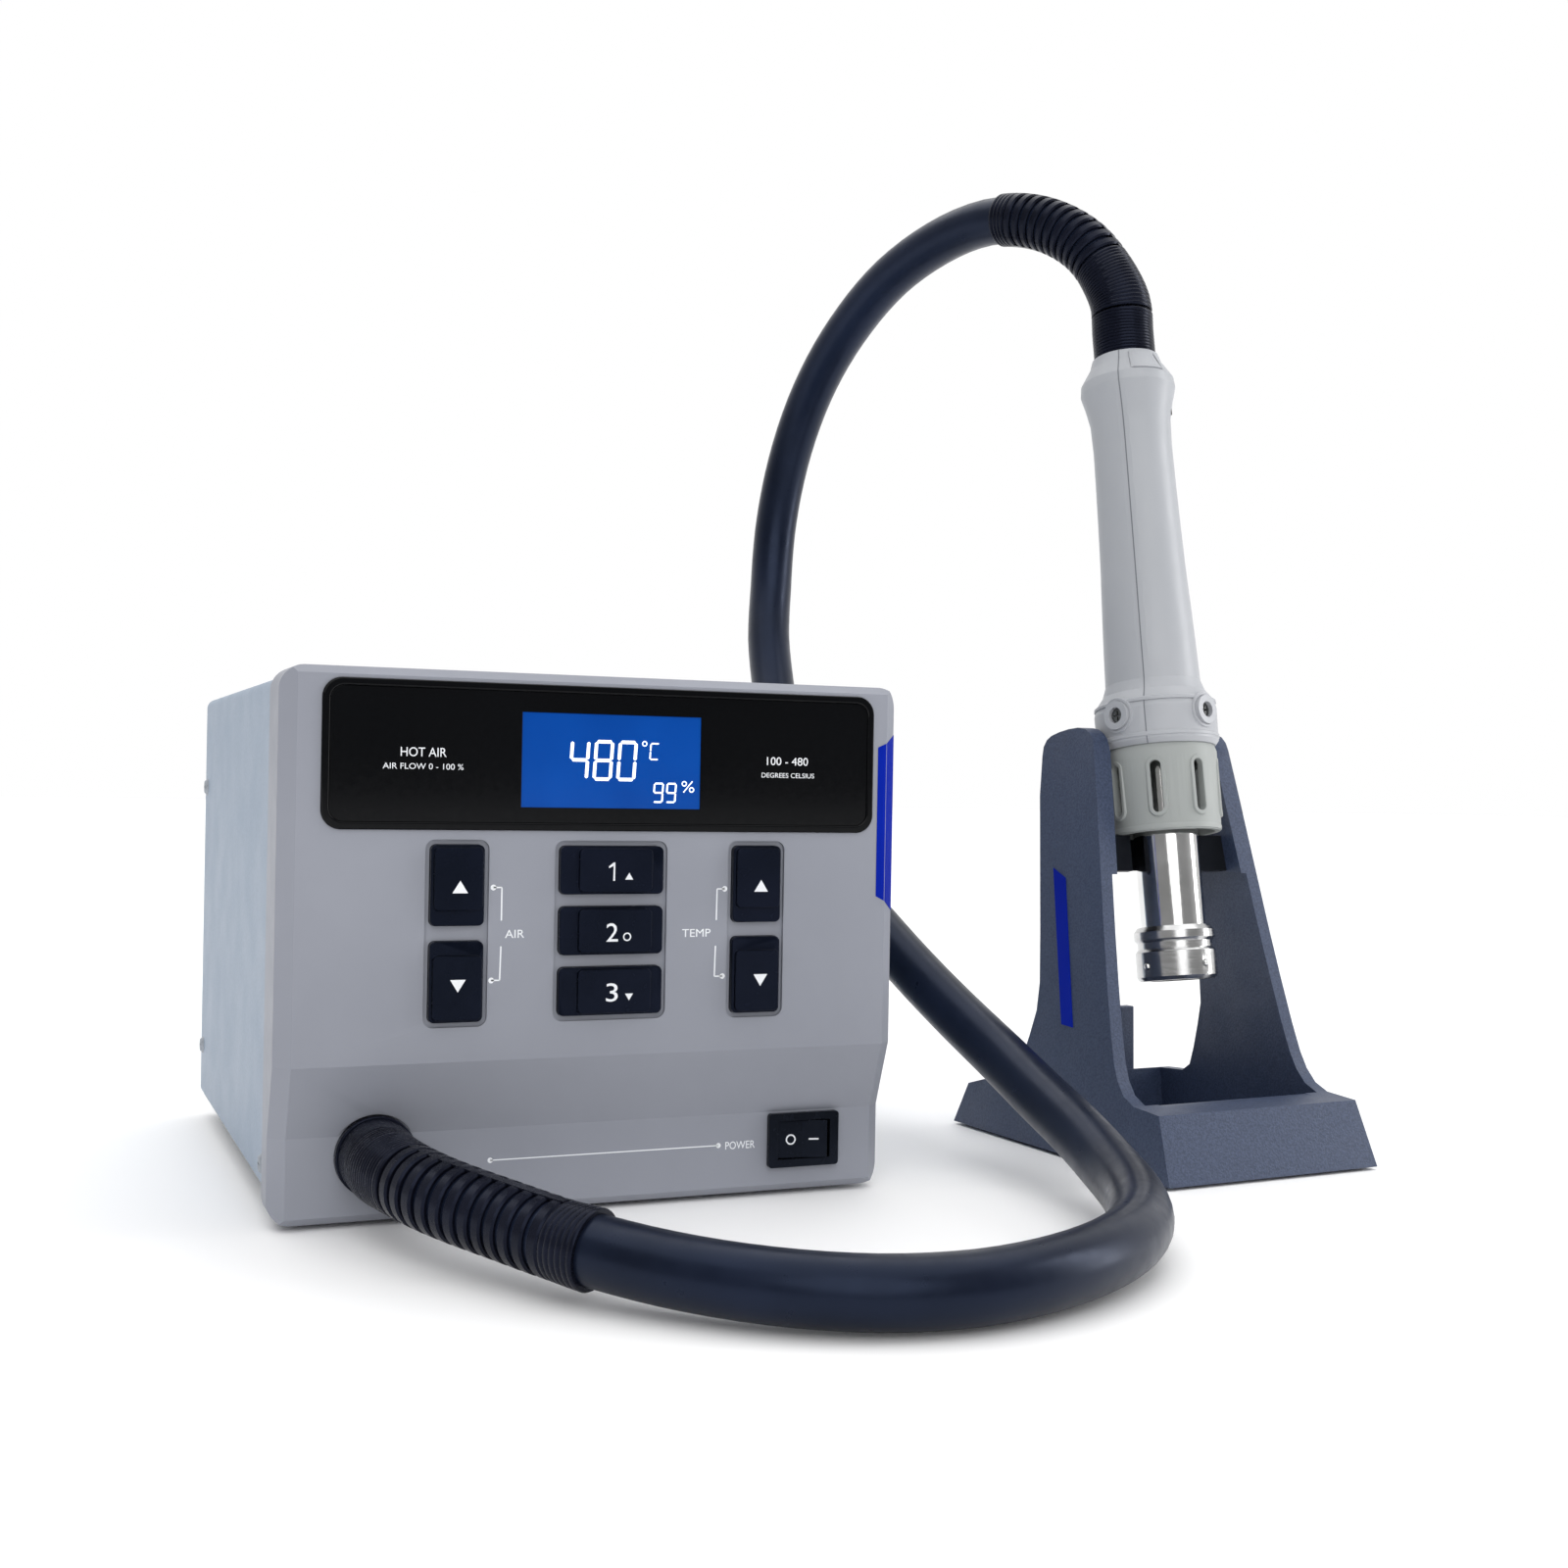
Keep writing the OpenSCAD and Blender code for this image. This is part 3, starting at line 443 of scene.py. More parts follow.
def grid_faces(form, rows, around, along):
    """Joins rows of vertices into quads; around and along close the grid each way."""
    count, width = len(rows), len(rows[0])
    for i in range(count if along else count - 1):
        for j in range(width if around else width - 1):
            k, m = (i + 1) % count, (j + 1) % width
            form.faces.new((rows[i][j], rows[i][m], rows[k][m], rows[k][j]))


def add_plate(form, outline, place, low, high):
    """A thin closed plate from a flat outline of (x, z) points, between two heights over a surface."""
    under = [form.verts.new(place(x, z, low)) for x, z in outline]
    over = [form.verts.new(place(x, z, high)) for x, z in outline]
    form.faces.new(over)
    form.faces.new(under[::-1])
    grid_faces(form, [under, over], True, False)


def plates(name, outlines, place, low, high, material, body):
    """One piece made of several thin plates."""
    form = bmesh.new()
    for outline in outlines:
        add_plate(form, outline, place, low, high)
    return add_piece(name, form, material, body)


def disc(x, z, radius, count=20):
    """Outline of a round dot."""
    turns = [2 * math.pi * k / count for k in range(count)]
    return [(x + radius * math.cos(turn), z + radius * math.sin(turn)) for turn in turns]


def circle_line(x, z, radius, width, count=28):
    """Quads that make up a thin ring."""
    inner, outer = disc(x, z, radius - width / 2, count), disc(x, z, radius + width / 2, count)
    return [[inner[k], outer[k], outer[(k + 1) % count], inner[(k + 1) % count]] for k in range(count)]


def stroke(a, b, width):
    """A thin bar from a to b."""
    dx, dz = b[0] - a[0], b[1] - a[1]
    size = math.hypot(dx, dz)
    nx, nz = -dz / size * width / 2, dx / size * width / 2
    return [(a[0] + nx, a[1] + nz), (a[0] - nx, a[1] - nz), (b[0] - nx, b[1] - nz), (b[0] + nx, b[1] + nz)]


def lettering(name, words, box, place, low, material, body, thick=0.04):
    """Printed words that fill the box (x0, x1, z0, z1) on a surface."""
    curve = bpy.data.curves.new(name, "FONT")
    curve.body = words
    curve.resolution_u = 4
    source = bpy.data.objects.new(name + "_curve", curve)
    bpy.context.scene.collection.objects.link(source)
    flat = bpy.data.meshes.new_from_object(source.evaluated_get(bpy.context.evaluated_depsgraph_get()))
    bpy.data.objects.remove(source)
    form = bmesh.new()
    form.from_mesh(flat)
    x0, x1, z0, z1 = box
    xs, zs = [v.co.x for v in form.verts], [v.co.y for v in form.verts]
    across, upward = (x1 - x0) / (max(xs) - min(xs)), (z1 - z0) / (max(zs) - min(zs))
    left, bottom = min(xs), min(zs)
    grown = bmesh.ops.extrude_face_region(form, geom=form.faces[:])
    raised = {g for g in grown["geom"] if isinstance(g, bmesh.types.BMVert)}
    for v in form.verts:
        lift = low + (thick if v in raised else 0)
        v.co = place(x0 + (v.co.x - left) * across, z0 + (v.co.y - bottom) * upward, lift)
    return add_piece(name, form, material, body)


# The hose ------------------------------------------------------------------------------------
HOSE_RADIUS = 8 * MM
HOSE_SIDES = 36
HOSE_TOP = (226, 206)
ROUTE_PASSES = 3
TURN_PITCH = 1.1 * MM
END_PITCH = 1.5 * MM
TURN_DEPTH = 0.28 * MM
ROOT_SPLIT = (0.42, 0.44)
RIB_PLACE = 0.62
RIB_SHARE = 0.7
WEB_HALF = math.radians(7)
WEB_BAND = (0.75 * MM, 0.15 * MM)
# Route of the hose in metres from the station's middle; two more points lead it into the hand piece.
HOSE_ROUTE = [
    (-0.0585, -0.088, 0.0182), (-0.0585, -0.103, 0.0182), (-0.052, -0.126, 0.0165), (-0.0405, -0.146, 0.014),
    (-0.029, -0.166, 0.012), (-0.0145, -0.1835, 0.010), (0.0025, -0.1995, 0.009), (0.0225, -0.2105, 0.0085),
    (0.045, -0.214, 0.0085), (0.0675, -0.2095, 0.009), (0.088, -0.199, 0.0095), (0.105, -0.1835, 0.010),
    (0.1165, -0.164, 0.0115), (0.1235, -0.142, 0.0145), (0.127, -0.120, 0.020), (0.128, -0.098, 0.0265),
    (0.1275, -0.0765, 0.0345), (0.1245, -0.056, 0.044), (0.1205, -0.036, 0.055), (0.117, -0.0165, 0.0665),
    (0.1145, 0.0035, 0.078), (0.113, 0.0225, 0.0905), (0.113, 0.041, 0.1045), (0.115, 0.0585, 0.119),
    (0.118, 0.0755, 0.1345), (0.122, 0.090, 0.1515), (0.125, 0.1025, 0.1705), (0.1295, 0.112, 0.191),
    (0.1325, 0.116, 0.2135), (0.1355, 0.114, 0.236), (0.139, 0.1065, 0.2575), (0.143, 0.094, 0.276),
    (0.148, 0.0775, 0.2915), (0.154, 0.059, 0.3035), (0.162, 0.0385, 0.3115), (0.171, 0.0175, 0.3145),
    (0.1805, -0.0025, 0.310), (0.1895, -0.0195, 0.2975)]


def refined(points):
    """Adds a point between each two, on the smooth curve through four neighbours."""
    made = []
    for i, p in enumerate(points[:-1]):
        q = points[i + 1]
        inner = 0 < i < len(points) - 2
        made += [p, (9 * (p + q) - points[i - 1] - points[i + 2]) / 16 if inner else (p + q) / 2]
    return made + [points[-1]]


class Route:
    """A smooth centreline with distances along it and a cross direction that doesn't twist."""

    def __init__(self, points):
        self.points = points
        self.far = [0.0]
        for a, b in zip(points, points[1:]):
            self.far.append(self.far[-1] + (b - a).length)
        self.length = self.far[-1]
        last = len(points) - 1
        self.ahead = [(points[min(i + 1, last)] - points[max(i - 1, 0)]).normalized()
                      for i in range(last + 1)]
        self.side = [self.ahead[0].cross(Vector((0, 0, 1))).normalized()]
        for t in self.ahead[1:]:
            n = self.side[-1]
            self.side.append((n - t * n.dot(t)).normalized())

    def at(self, s):
        """Point, side and cross direction at distance s, straight on beyond the ends."""
        i = 0
        while i < len(self.far) - 2 and self.far[i + 1] < s:
            i += 1
        t = (s - self.far[i]) / (self.far[i + 1] - self.far[i])
        ahead = self.ahead[i].lerp(self.ahead[i + 1], min(max(t, 0), 1)).normalized()
        side = self.side[i].lerp(self.side[i + 1], min(max(t, 0), 1))
        side = (side - ahead * side.dot(ahead)).normalized()
        return self.points[i].lerp(self.points[i + 1], t), side, ahead.cross(side)

    def around(self, s, angle, radius):
        point, side, cross = self.at(s)
        return point + (side * math.cos(angle) + cross * math.sin(angle)) * radius


def hose_route():
    """The whole centreline, from behind the bezel into the top of the hand piece."""
    points = [Vector((CASE_X + x, STATION_Y + y, z)) for x, y, z in HOSE_ROUTE]
    points += [NOZZLE + AXIS * along * MM for along in HOSE_TOP]
    for _ in range(ROUTE_PASSES):
        points = refined(points)
    return Route(points)


def ring_along(form, route, outline, sides=48):
    """A closed ring around the route from an outline of (distance, radius) points in metres."""
    rows = []
    for k in range(sides):
        angle = 2 * math.pi * k / sides
        rows.append([form.verts.new(route.around(s, angle, r)) for s, r in outline])
    grid_faces(form, rows, True, True)


def bar_along(form, route, start, end, angle, half, low, high, steps):
    """A strip that follows the route at one side of it."""
    rows = []
    for k in range(steps + 1):
        s = start + (end - start) * k / steps
        rows.append([form.verts.new(route.around(s, angle + a, r))
                     for a, r in ((-half, low), (half, low), (half, high), (-half, high))])
    grid_faces(form, rows, True, False)
    form.faces.new(rows[0][::-1])
    form.faces.new(rows[-1])


def add_hose(route):
    """The hose itself: one smooth tube from the outlet to the hand piece."""
    form = bmesh.new()
    turns = [2 * math.pi * k / HOSE_SIDES for k in range(HOSE_SIDES)]
    rows = [[form.verts.new(route.around(far, turn, HOSE_RADIUS)) for turn in turns]
            for far in route.far[::2]]
    grid_faces(form, rows, True, False)
    form.faces.new(rows[0][::-1])
    form.faces.new(rows[-1])
    tube = add_piece("hose_tube", form, HOSE, None)
    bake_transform(tube)
    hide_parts("hose")


def threaded(start, end, r_start, r_end, bore, pitch, depth):
    """Outline of a sleeve with fine turns outside, from start to end along a route."""
    turns = max(2, round(abs(end - start) / pitch))
    outer = []
    for k in range(turns):
        for share, cut in ((0.0, 1.0), (0.28, 0.0), (0.72, 0.0)):
            t = (k + share) / turns
            outer.append((start + (end - start) * t, r_start + (r_end - r_start) * t - depth * cut))
    outer.append((end, r_end - depth))
    return [(start, bore), *outer, (end, bore)]


def rib(middle, width, radius, bore):
    """Outline of one rounded rib."""
    half, edge = width / 2, min(width * 0.22, 0.5 * MM)
    return [(middle - half, bore), (middle - half, radius - edge), (middle - half + edge, radius),
            (middle + half - edge, radius), (middle + half, radius - edge), (middle + half, bore)]


def add_sleeve(name, node, route, body, spans, radii, ribs, webs, web_turn):
    """Strain relief of the hose: threaded root, open ribs tied by thin strips, grooved end collar.

    spans are the distances from the hose's end that split those three, radii the outer ones there.
    """
    start, root, open_end, end = spans
    r_start, r_root, r_open, r_end = radii
    bore = HOSE_RADIUS + 0.05 * MM
    form = bmesh.new()
    lower_end, upper_start = (start + (root - start) * part for part in ROOT_SPLIT)
    for near, far, r_far in ((start, lower_end, r_start), (upper_start, root, r_root)):
        ring_along(form, route, threaded(near, far, r_start, r_far, bore, TURN_PITCH, TURN_DEPTH))
    pitch = (open_end - root) / ribs
    for k in range(ribs):
        t = (k + RIB_PLACE) / ribs
        middle, radius = root + (open_end - root) * t, r_root + (r_open - r_root) * t
        ring_along(form, route, rib(middle, abs(pitch) * RIB_SHARE, radius, bore))
    ring_along(form, route, threaded(open_end, end, r_open, r_end, bore, END_PITCH, TURN_DEPTH))
    low, high = (r_root - depth for depth in WEB_BAND)
    for k in range(webs):
        angle = web_turn + 2 * math.pi * k / webs
        bar_along(form, route, root, open_end, angle, WEB_HALF, low, high, 3 * ribs)
    sleeve = add_piece(name, form, RELIEF, body, sharp=40)
    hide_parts(node)
    return sleeve


# The station's face ------------------------------------------------------------------------
INK = 0.03
LINE = 0.36
KEY_TOP = 2.2
WINDOW_LIFT = 0.4
SLOPE_TOP = 42
OUTER_X, TOP_Z, BOTTOM_Z = 79, 138, 6
SEGMENTS = {"0": "abcdef", "4": "bcfg", "8": "abcdefg", "9": "abcdfg", "C": "adef"}


def segment_bars(sign, x, z, width, height, thick, lean):
    """Outlines of one seven-segment sign whose lower left corner is at x, z."""
    half, gap = thick / 2, thick * 0.12
    top, centre = height - half, height / 2
    right = width - half
    ends = {"a": ((half, top), (right, top)), "d": ((half, half), (right, half)),
            "g": ((half, centre), (right, centre)),
            "b": ((right, centre), (right, top)), "c": ((right, half), (right, centre)),
            "f": ((half, centre), (half, top)), "e": ((half, half), (half, centre))}
    bars = []
    for key in SEGMENTS[sign]:
        (ax, az), (bx, bz) = ends[key]
        ux, uz = (1, 0) if az == bz else (0, 1)
        shape = [(ax + gap * ux, az + gap * uz),
                 (ax + half * ux + half * uz, az + half * uz + half * ux),
                 (bx - half * ux + half * uz, bz - half * uz + half * ux),
                 (bx - gap * ux, bz - gap * uz),
                 (bx - half * ux - half * uz, bz - half * uz - half * ux),
                 (ax + half * ux - half * uz, az + half * uz - half * ux)]
        bars.append([(x + px + pz * lean, z + pz) for px, pz in shape])
    return bars


def add_display():
    """Lit signs of the screen."""
    bars = []
    for k, sign in enumerate("480"):
        bars += segment_bars(sign, -11.6 + 6.5 * k, 114.1, 5.3, 10.7, 0.9, 0.06)
    for k, sign in enumerate("99"):
        bars += segment_bars(sign, 11.6 + 3.6 * k, 108.5, 2.9, 5.4, 0.48, 0.06)
    bars += segment_bars("C", 10.5, 119.8, 2.7, 4.6, 0.42, 0.06) + circle_line(9.2, 124.1, 0.6, 0.3, 16)
    bars += circle_line(20.5, 113.7, 0.6, 0.3, 16) + circle_line(22.6, 112.1, 0.6, 0.3, 16)
    bars.append(stroke((20.3, 111.4), (22.8, 114.4), 0.3))
    plates("screen_signs", bars, on_face, 0.2, 0.26, MARK, BASE)


def add_window_words():
    """Small generic words on the smoked window."""
    for name, words, box in (("window_left", "HOT AIR", (-55.2, -43.6, 119.4, 121.7)),
                             ("window_left_small", "AIR FLOW 0 - 100 %", (-59.6, -39.2, 116.2, 117.7)),
                             ("window_right", "100 - 480", (44.2, 56.4, 119.2, 121.4)),
                             ("window_right_small", "DEGREES CELSIUS", (42.7, 58.3, 115.8, 117.1))):
        lettering(name, words, box, on_face, WINDOW_LIFT, WHITE_INK, BASE)


def bracket(name, dot_top, corner_top, break_top, break_low, corner_low, dot_low):
    """Thin printed bracket that ties a pair of keys to its word."""
    bars = [stroke(dot_top, corner_top, LINE), stroke(corner_top, break_top, LINE),
            stroke(break_low, corner_low, LINE), stroke(corner_low, dot_low, LINE),
            disc(*dot_top, 0.75), disc(*dot_low, 0.75)]
    plates(name, bars, on_face, 0.0, INK, WHITE_INK, BASE)


def add_prints():
    """Printed lines and words of the face."""
    bracket("air_bracket", (-30.8, 86.3), (-28.6, 86.3), (-28.6, 77.8),
            (-28.6, 71.2), (-28.8, 62.5), (-31, 62.5))
    bracket("temp_bracket", (32.7, 85.6), (30.5, 85.6), (30.4, 77.2),
            (30.3, 70.3), (30.1, 62.1), (32.4, 62.1))
    lettering("air_word", "AIR", (-27.6, -22.5, 73.3, 75.4), on_face, 0, WHITE_INK, BASE)
    lettering("temp_word", "TEMP", (20.7, 28.8, 72.8, 74.9), on_face, 0, WHITE_INK, BASE)
    start, end = (-28.6, 14.95), (34.95, 14.95)
    plates("power_line", [stroke(start, end, 0.3), disc(*start, 0.7), disc(*end, 0.7)],
           on_low_face, 0, INK, WHITE_INK, BASE)
    lettering("power_word", "POWER", (37.0, 45.7, 13.7, 15.8), on_low_face, 0, WHITE_INK, BASE)


def key_sign(key, part, outlines):
    """White sign on a key cap."""
    plates(f"{key}_{part}", outlines, on_face, KEY_TOP, KEY_TOP + INK, WHITE_INK, body_of(key))


def triangle(x, z, half, height, up):
    """Outline of an arrow head around x, z that points up or down."""
    rise = height / 2 if up else -height / 2
    return [(x - half, z - rise), (x + half, z - rise), (x, z + rise)]


def add_keys():
    """Key caps with rounded edges and printed signs."""
    for key in ("air_up_key", "air_down_key", "temp_up_key", "temp_down_key",
                "preset_1_key", "preset_2_key", "preset_3_key"):
        rounded(key, 0.3, KEY, clamp=False)
    for key, x, z, up in (("air_up_key", -39.9, 86.6, True), ("air_down_key", -40.1, 61.5, False),
                          ("temp_up_key", 42.4, 86.5, True), ("temp_down_key", 42.6, 61.0, False)):
        key_sign(key, "arrow", [triangle(x, z, 2.0, 3.2, up)])
    for key, word, x, z in (("preset_2_key", "2", 0.5, 74.5), ("preset_3_key", "3", 0.7, 58.8)):
        box = (x - 1.6, x + 1.6, z - 2.4, z + 2.4)
        lettering(f"{key}_number", word, box, on_face, KEY_TOP, WHITE_INK, body_of(key))
    key_sign("preset_1_key", "number", [[(0.5, 88), (1, 88), (1, 92.8), (0.6, 92.8)],
                                        [(0.6, 92.8), (0.5, 91.9), (-0.7, 91.3), (-0.7, 91.8)]])
    key_sign("preset_1_key", "sign", [triangle(4.9, 89.2, 1.1, 1.8, True)])
    key_sign("preset_2_key", "sign", circle_line(4.6, 73.3, 0.95, 0.35))
    key_sign("preset_3_key", "sign", [triangle(5.4, 57.5, 1.1, 1.8, False)])


def add_face():
    """Bezel, window and switch with rounded edges."""
    def bezel_share(middle):
        x, z = abs(middle.x - CASE_X) / MM, middle.z / MM
        if abs(z - SLOPE_TOP) < 1:
            return 1.0
        if x > OUTER_X or z > TOP_Z or z < BOTTOM_Z:
            return 0.3
        return 0.07
    rounded("front_bezel", 5.5, BEZEL, bezel_share, angle=14)
    rounded("display_frame", 0.5, GLASS)
    rounded("display_lens", 0.15, GLASS)
    rounded("lcd_module", 0.1, SCREEN)
    rounded("switch_housing", 0.6, SWITCH)
    rounded("switch_rocker", 0.5, SWITCH)
    rounded("hose_gland", 0.5, RELIEF)
    nodes["gland_nut"].data.materials[0] = SCREW


ROCKER_TILT = math.radians(9)
ROCKER_SLOPE = 0.6 / 7.1
ROCKER_TOP = -2.3


def add_rocker_signs():
    """O and I of the rocker, laid on its two slopes."""
    low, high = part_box("switch_rocker")
    centre = (low + high) / 2
    pivot = Vector((CASE_X + 59.8 * MM, LOW_FACE_Y + 1.2 * MM, centre.z))

    def on_rocker(x, z, lift):
        y = ROCKER_TOP - abs(x) * ROCKER_SLOPE - lift
        c, s = math.cos(-ROCKER_TILT), math.sin(-ROCKER_TILT)
        return pivot + Vector(((x * c - y * s) * MM, (x * s + y * c) * MM, z * MM))
    body = body_of("switch_rocker")
    plates("rocker_off_sign", circle_line(-3.3, 0, 1.25, 0.4), on_rocker, 0.0, 0.05, WHITE_INK, body)
    plates("rocker_on_sign", [stroke((1.9, 0), (4.7, 0), 0.42)], on_rocker, 0.0, 0.05, WHITE_INK, body)


# Corners of the bezel's right edge that the blue film follows, (right, back) from the face in millimetres.
FILM_TURNS = [(77.9, 0.0), (80.6, 0.0), (84.6, 4.0), (84.6, 6.0)]
FILM_OUTS = [(0.0, -1.0), (0.7, -0.7), (1.0, 0.0)]
FILM_WIDTH = 9
FILM_STEPS = 12
FILM_SLANT = 8.3


def add_side_stripe():
    """Blue film that wraps from the face over the slanted strip to the bezel's side."""
    lengths = [0]
    for a, b in zip(FILM_TURNS, FILM_TURNS[1:]):
        lengths.append(lengths[-1] + math.dist(a, b))

    def on_edge(u, z, lift):
        k = 0 if u < lengths[1] else 1 if u < lengths[2] else 2
        t = (u - lengths[k]) / (lengths[k + 1] - lengths[k])
        (ax, ay), (bx, by), (ox, oy) = FILM_TURNS[k], FILM_TURNS[k + 1], FILM_OUTS[k]
        x, y = ax + (bx - ax) * t + ox * lift, ay + (by - ay) * t + oy * lift
        return Vector((CASE_X + x * MM, FACE_Y + y * MM, z * MM))
    form = bmesh.new()
    rows = []
    for k in range(FILM_STEPS + 1):
        u = FILM_WIDTH * k / FILM_STEPS
        share = min(u / FILM_SLANT, 1)
        z0, z1 = 83.3 - 4.2 * share, 124.8 + 3.7 * share
        rows.append([form.verts.new(on_edge(u, z, lift)) for z, lift in
                     ((z0, -0.4), (z1, -0.4), (z1, 0.12), (z0, 0.12))])
    grid_faces(form, rows, True, False)
    form.faces.new(rows[0][::-1])
    form.faces.new(rows[-1])
    add_piece("side_stripe", form, BLUE_FILM, BASE)


# The hand piece -----------------------------------------------------------------------------
# Outer line of the shell, (radius, height) in millimetres from the band at the bottom to the top.
SHELL_LINE = [(18.2, 74), (19.3, 75.5), (19.5, 86), (18.6, 89), (16.4, 92), (15.2, 95.5), (14.8, 108),
              (14.3, 121), (13.7, 134), (13.3, 148), (13, 161), (12.8, 175), (13.1, 184), (14.3, 190),
              (15.5, 194.5), (15.2, 197.5), (13.4, 200.5), (11.8, 203), (10.9, 206)]
SEAM_ANGLES = (-90, 90)
BOSS_ANGLES = (-28, 62, 152, 242)
SLOT_ANGLES = [45 * k + 5 for k in range(8)]


def shell_radius(t):
    """Radius of the shell at height t."""
    for (r0, t0), (r1, t1) in zip(SHELL_LINE, SHELL_LINE[1:]):
        if t0 <= t <= t1:
            return r0 + (r1 - r0) * (t - t0) / (t1 - t0)
    return SHELL_LINE[-1][0]


def hand_ring(form, outline, sides=96):
    """A closed ring around the hand piece from (radius, height) points."""
    rows = [[form.verts.new(on_hand(360 * k / sides, t, r)) for r, t in outline] for k in range(sides)]
    grid_faces(form, rows, True, True)


def rim_around(form, angle, t, radius, half_width, half_height, width, rise, count=32):
    """A raised round-cornered rim on the hand piece around an opening."""
    rows = []
    straight = half_height - half_width
    for k in range(count):
        turn = 2 * math.pi * k / count
        shift = straight if math.sin(turn) > 0 else -straight
        ring = []
        for out, up in ((0, -0.3), (0, rise * 0.8), (width * 0.25, rise),
                        (width * 0.7, rise * 0.9), (width, -0.3)):
            u = math.cos(turn) * (half_width + out)
            w = math.sin(turn) * (half_width + out) + shift
            ring.append(form.verts.new(on_hand(angle + math.degrees(u / radius), t + w, radius + up)))
        rows.append(ring)
    grid_faces(form, rows, True, True)


def add_seams():
    """Fine dark lines where the two shells meet, on a strip just proud of the shell: painted shade standing
    in for the groove between them.
    """
    form = bmesh.new()
    for angle in SEAM_ANGLES:
        rows = []
        for r, t in SHELL_LINE:
            turn = math.degrees(0.2 / r)
            rows.append([form.verts.new(on_hand(angle + a, t, r + out))
                         for a, out in ((-turn, -0.3), (turn, -0.3), (turn, 0.03), (-turn, 0.03))])
        grid_faces(form, rows, True, False)
        form.faces.new(rows[0][::-1])
        form.faces.new(rows[-1])
    add_piece("shell_seam_shade", form, SEAM_SHADE, HAND)


def add_shell_details():
    """Rims round the screws, step lines of the band, the tab on the top cone, and a dark patch at the lanyard
    hole that is painted shade of its inside.
    """
    form = bmesh.new()
    for angle in BOSS_ANGLES:
        rim_around(form, angle, 84, 19.5, 4.7, 4.7, 1.2, 0.45)
    hand_ring(form, [(19.3, 76.2), (19.62, 76.4), (19.62, 77.3), (19.3, 77.6)])
    hand_ring(form, [(18.9, 87.6), (19.45, 87.7), (19.4, 88.5), (18.7, 89)])
    add_piece("band_details", form, SHELL, HAND)
    tab = bmesh.new()
    rows = []
    for k in range(13):
        angle = -74 + 46 * k / 12
        rise = 0.4 if 0 < k < 12 else 0.1
        rows.append([tab.verts.new(on_hand(angle, t, shell_radius(t) + out * rise))
                     for t, out in ((198.2, -1), (198.2, 1), (200.5, 1), (203, 1), (205, 1), (205, -1))])
    grid_faces(tab, rows, True, False)
    tab.faces.new(rows[0][::-1])
    tab.faces.new(rows[-1])
    add_piece("cone_tab", tab, SHELL, HAND)
    # The lanyard hole is a dark raised patch, not an opening: painted shade.
    hole = bmesh.new()
    rim_around(hole, 8, 187, 13.6, 0.1, 0.5, 1.5, 0.12, 20)
    add_piece("lanyard_hole_shade", hole, HOLE_SHADE, HAND)


def add_slot_rims():
    """Raised rims round the vent slots and the collar's lower bead."""
    form = bmesh.new()
    for angle in SLOT_ANGLES:
        rim_around(form, angle, 60.25, 18.0, 1.75, 8.3, 1.5, 0.5)
    hand_ring(form, [(17.2, 46.6), (17.75, 46.9), (17.85, 48), (17.6, 48.8)])
    add_piece("slot_rims", form, COLLAR, HAND)


def add_hand_piece():
    """Everything that lifts out of the stand."""
    rounded("handle_shell_left", 0.2, SHELL, angle=17)
    rounded("handle_shell_right", 0.2, SHELL, angle=17)
    rounded("vent_collar", 0.3, COLLAR, angle=25)
    rounded("nozzle_ring", 0.2, TURNED, angle=25)
    rounded("heater_tube", 0.1, STEEL)
    rounded("handle_screws", 0.1, SCREW)
    rounded("detent_balls", 0.02, STEEL)
    nodes["heater_core"].data.materials[0] = CERAMIC
    nodes["heater_coil"].data.materials[0] = WIRE
    add_seams()
    add_shell_details()
    add_slot_rims()


# The stand ------------------------------------------------------------------------------------
ARM_LEAN = math.radians(5.7)


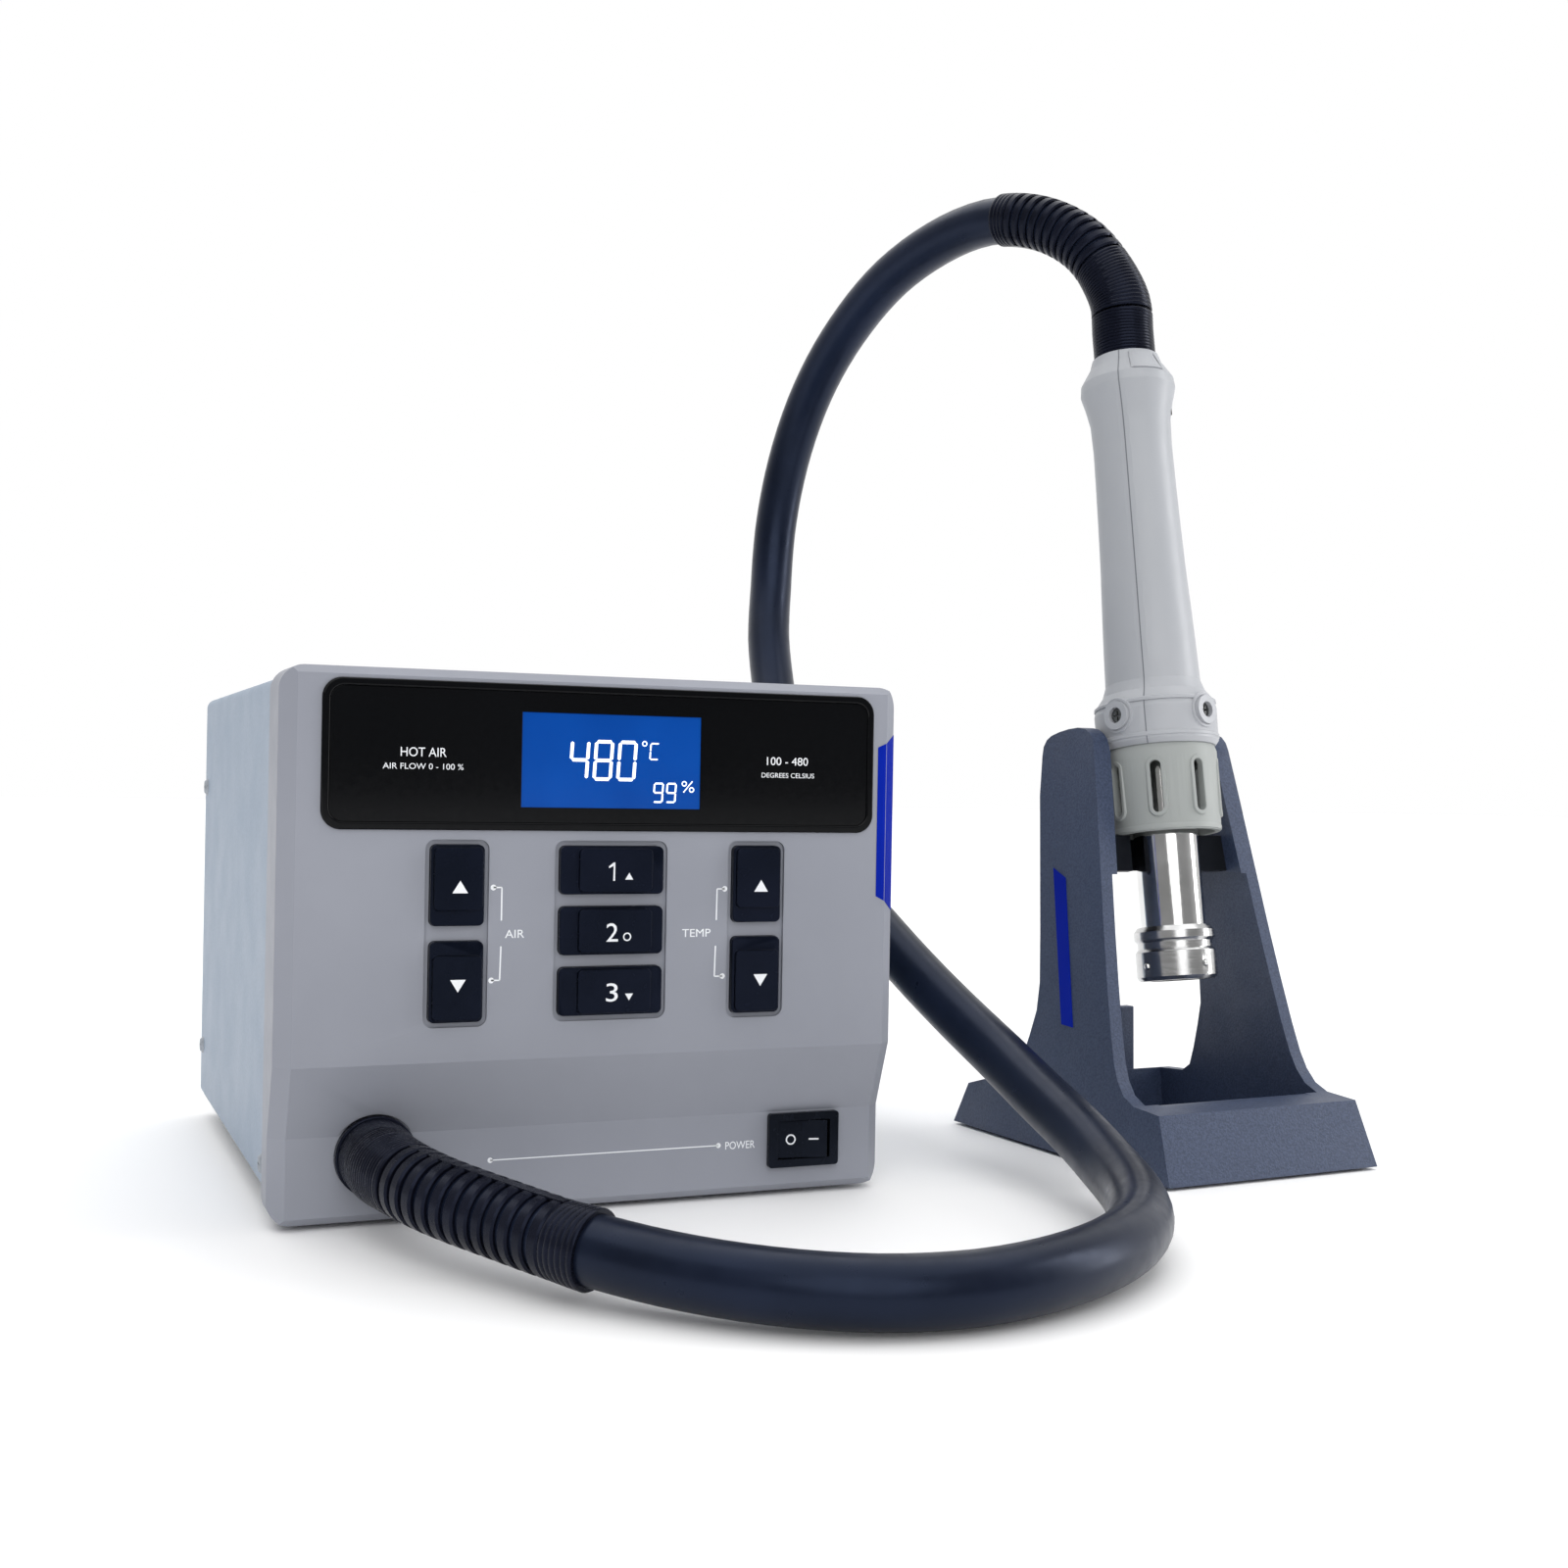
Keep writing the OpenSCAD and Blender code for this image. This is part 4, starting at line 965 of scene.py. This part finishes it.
def on_stand(u, v, z):
    """Point in the stand's own frame, in millimetres from its front left corner."""
    c, s = math.cos(STAND_TURN), math.sin(STAND_TURN)
    return STAND_CORNER + Vector(((u * c - v * s) * MM, (u * s + v * c) * MM, z * MM))


def add_stand():
    """Painted stand with its ledge, post and blue stripe."""
    rounded("stand_body", 1.1, STAND)
    rounded("stand_cradle", 0.5, BLACK)
    rounded("nozzle_post", 0.5, STAND)
    nodes["sleep_magnet"].data.materials[0] = SCREW
    nodes["stand_pads"].data.materials[0] = RUBBER

    def on_arm(v, z, lift):
        lean = math.tan(ARM_LEAN)
        return on_stand(z * lean - lift, v, z)
    stripe = [(71.5, 88.9), (64.5, 86), (53, 40), (59, 40.3)]
    plates("arm_stripe", [stripe], on_arm, -0.3, 0.2, BLUE_FILM, BASE)


# The rest of the station ------------------------------------------------------------------------
def add_case():
    """Cover, rear panel and everything inside the station."""
    rounded("top_cover", 0.35, COVER)
    rounded("rear_panel", 0.2, PANEL)
    plain = {"base_tray": PANEL, "cover_screws": PANEL, "rubber_feet": RUBBER, "control_board": BOARD,
             "power_board": BOARD, "key_switches": BLACK, "blower_housing": BLACK, "blower_impeller": CERAMIC,
             "blower_motor": SCREW, "air_duct": BLACK, "board_standoffs": BRASS, "inlet_pins": BRASS}
    for node, material in plain.items():
        nodes[node].data.materials[0] = material
    rounded("mains_inlet", 0.5, SWITCH)
    rounded("fuse_holder", 0.6, SWITCH)


# Build ----------------------------------------------------------------------------------------------
add_camera()
add_studio()
route = hose_route()
station_sleeve = add_sleeve("station_sleeve", "station_relief", route, BASE,
                            spans=(0, 0.028, 0.081, 0.090),
                            radii=(9.7 * MM, 9.3 * MM, 9.0 * MM, 9.3 * MM),
                            ribs=12, webs=2, web_turn=math.pi / 2)
hand_sleeve = add_sleeve("hand_sleeve", "handle_relief", route, HAND,
                         spans=[route.length - back for back in (0, 0.036, 0.077, 0.083)],
                         radii=(10.1 * MM, 9.3 * MM, 9.1 * MM, 9.0 * MM),
                         ribs=11, webs=2, web_turn=math.radians(118))
add_hose(route)
add_face()
add_keys()
add_display()
add_window_words()
add_prints()
add_rocker_signs()
add_side_stripe()
add_hand_piece()
add_stand()
add_case()
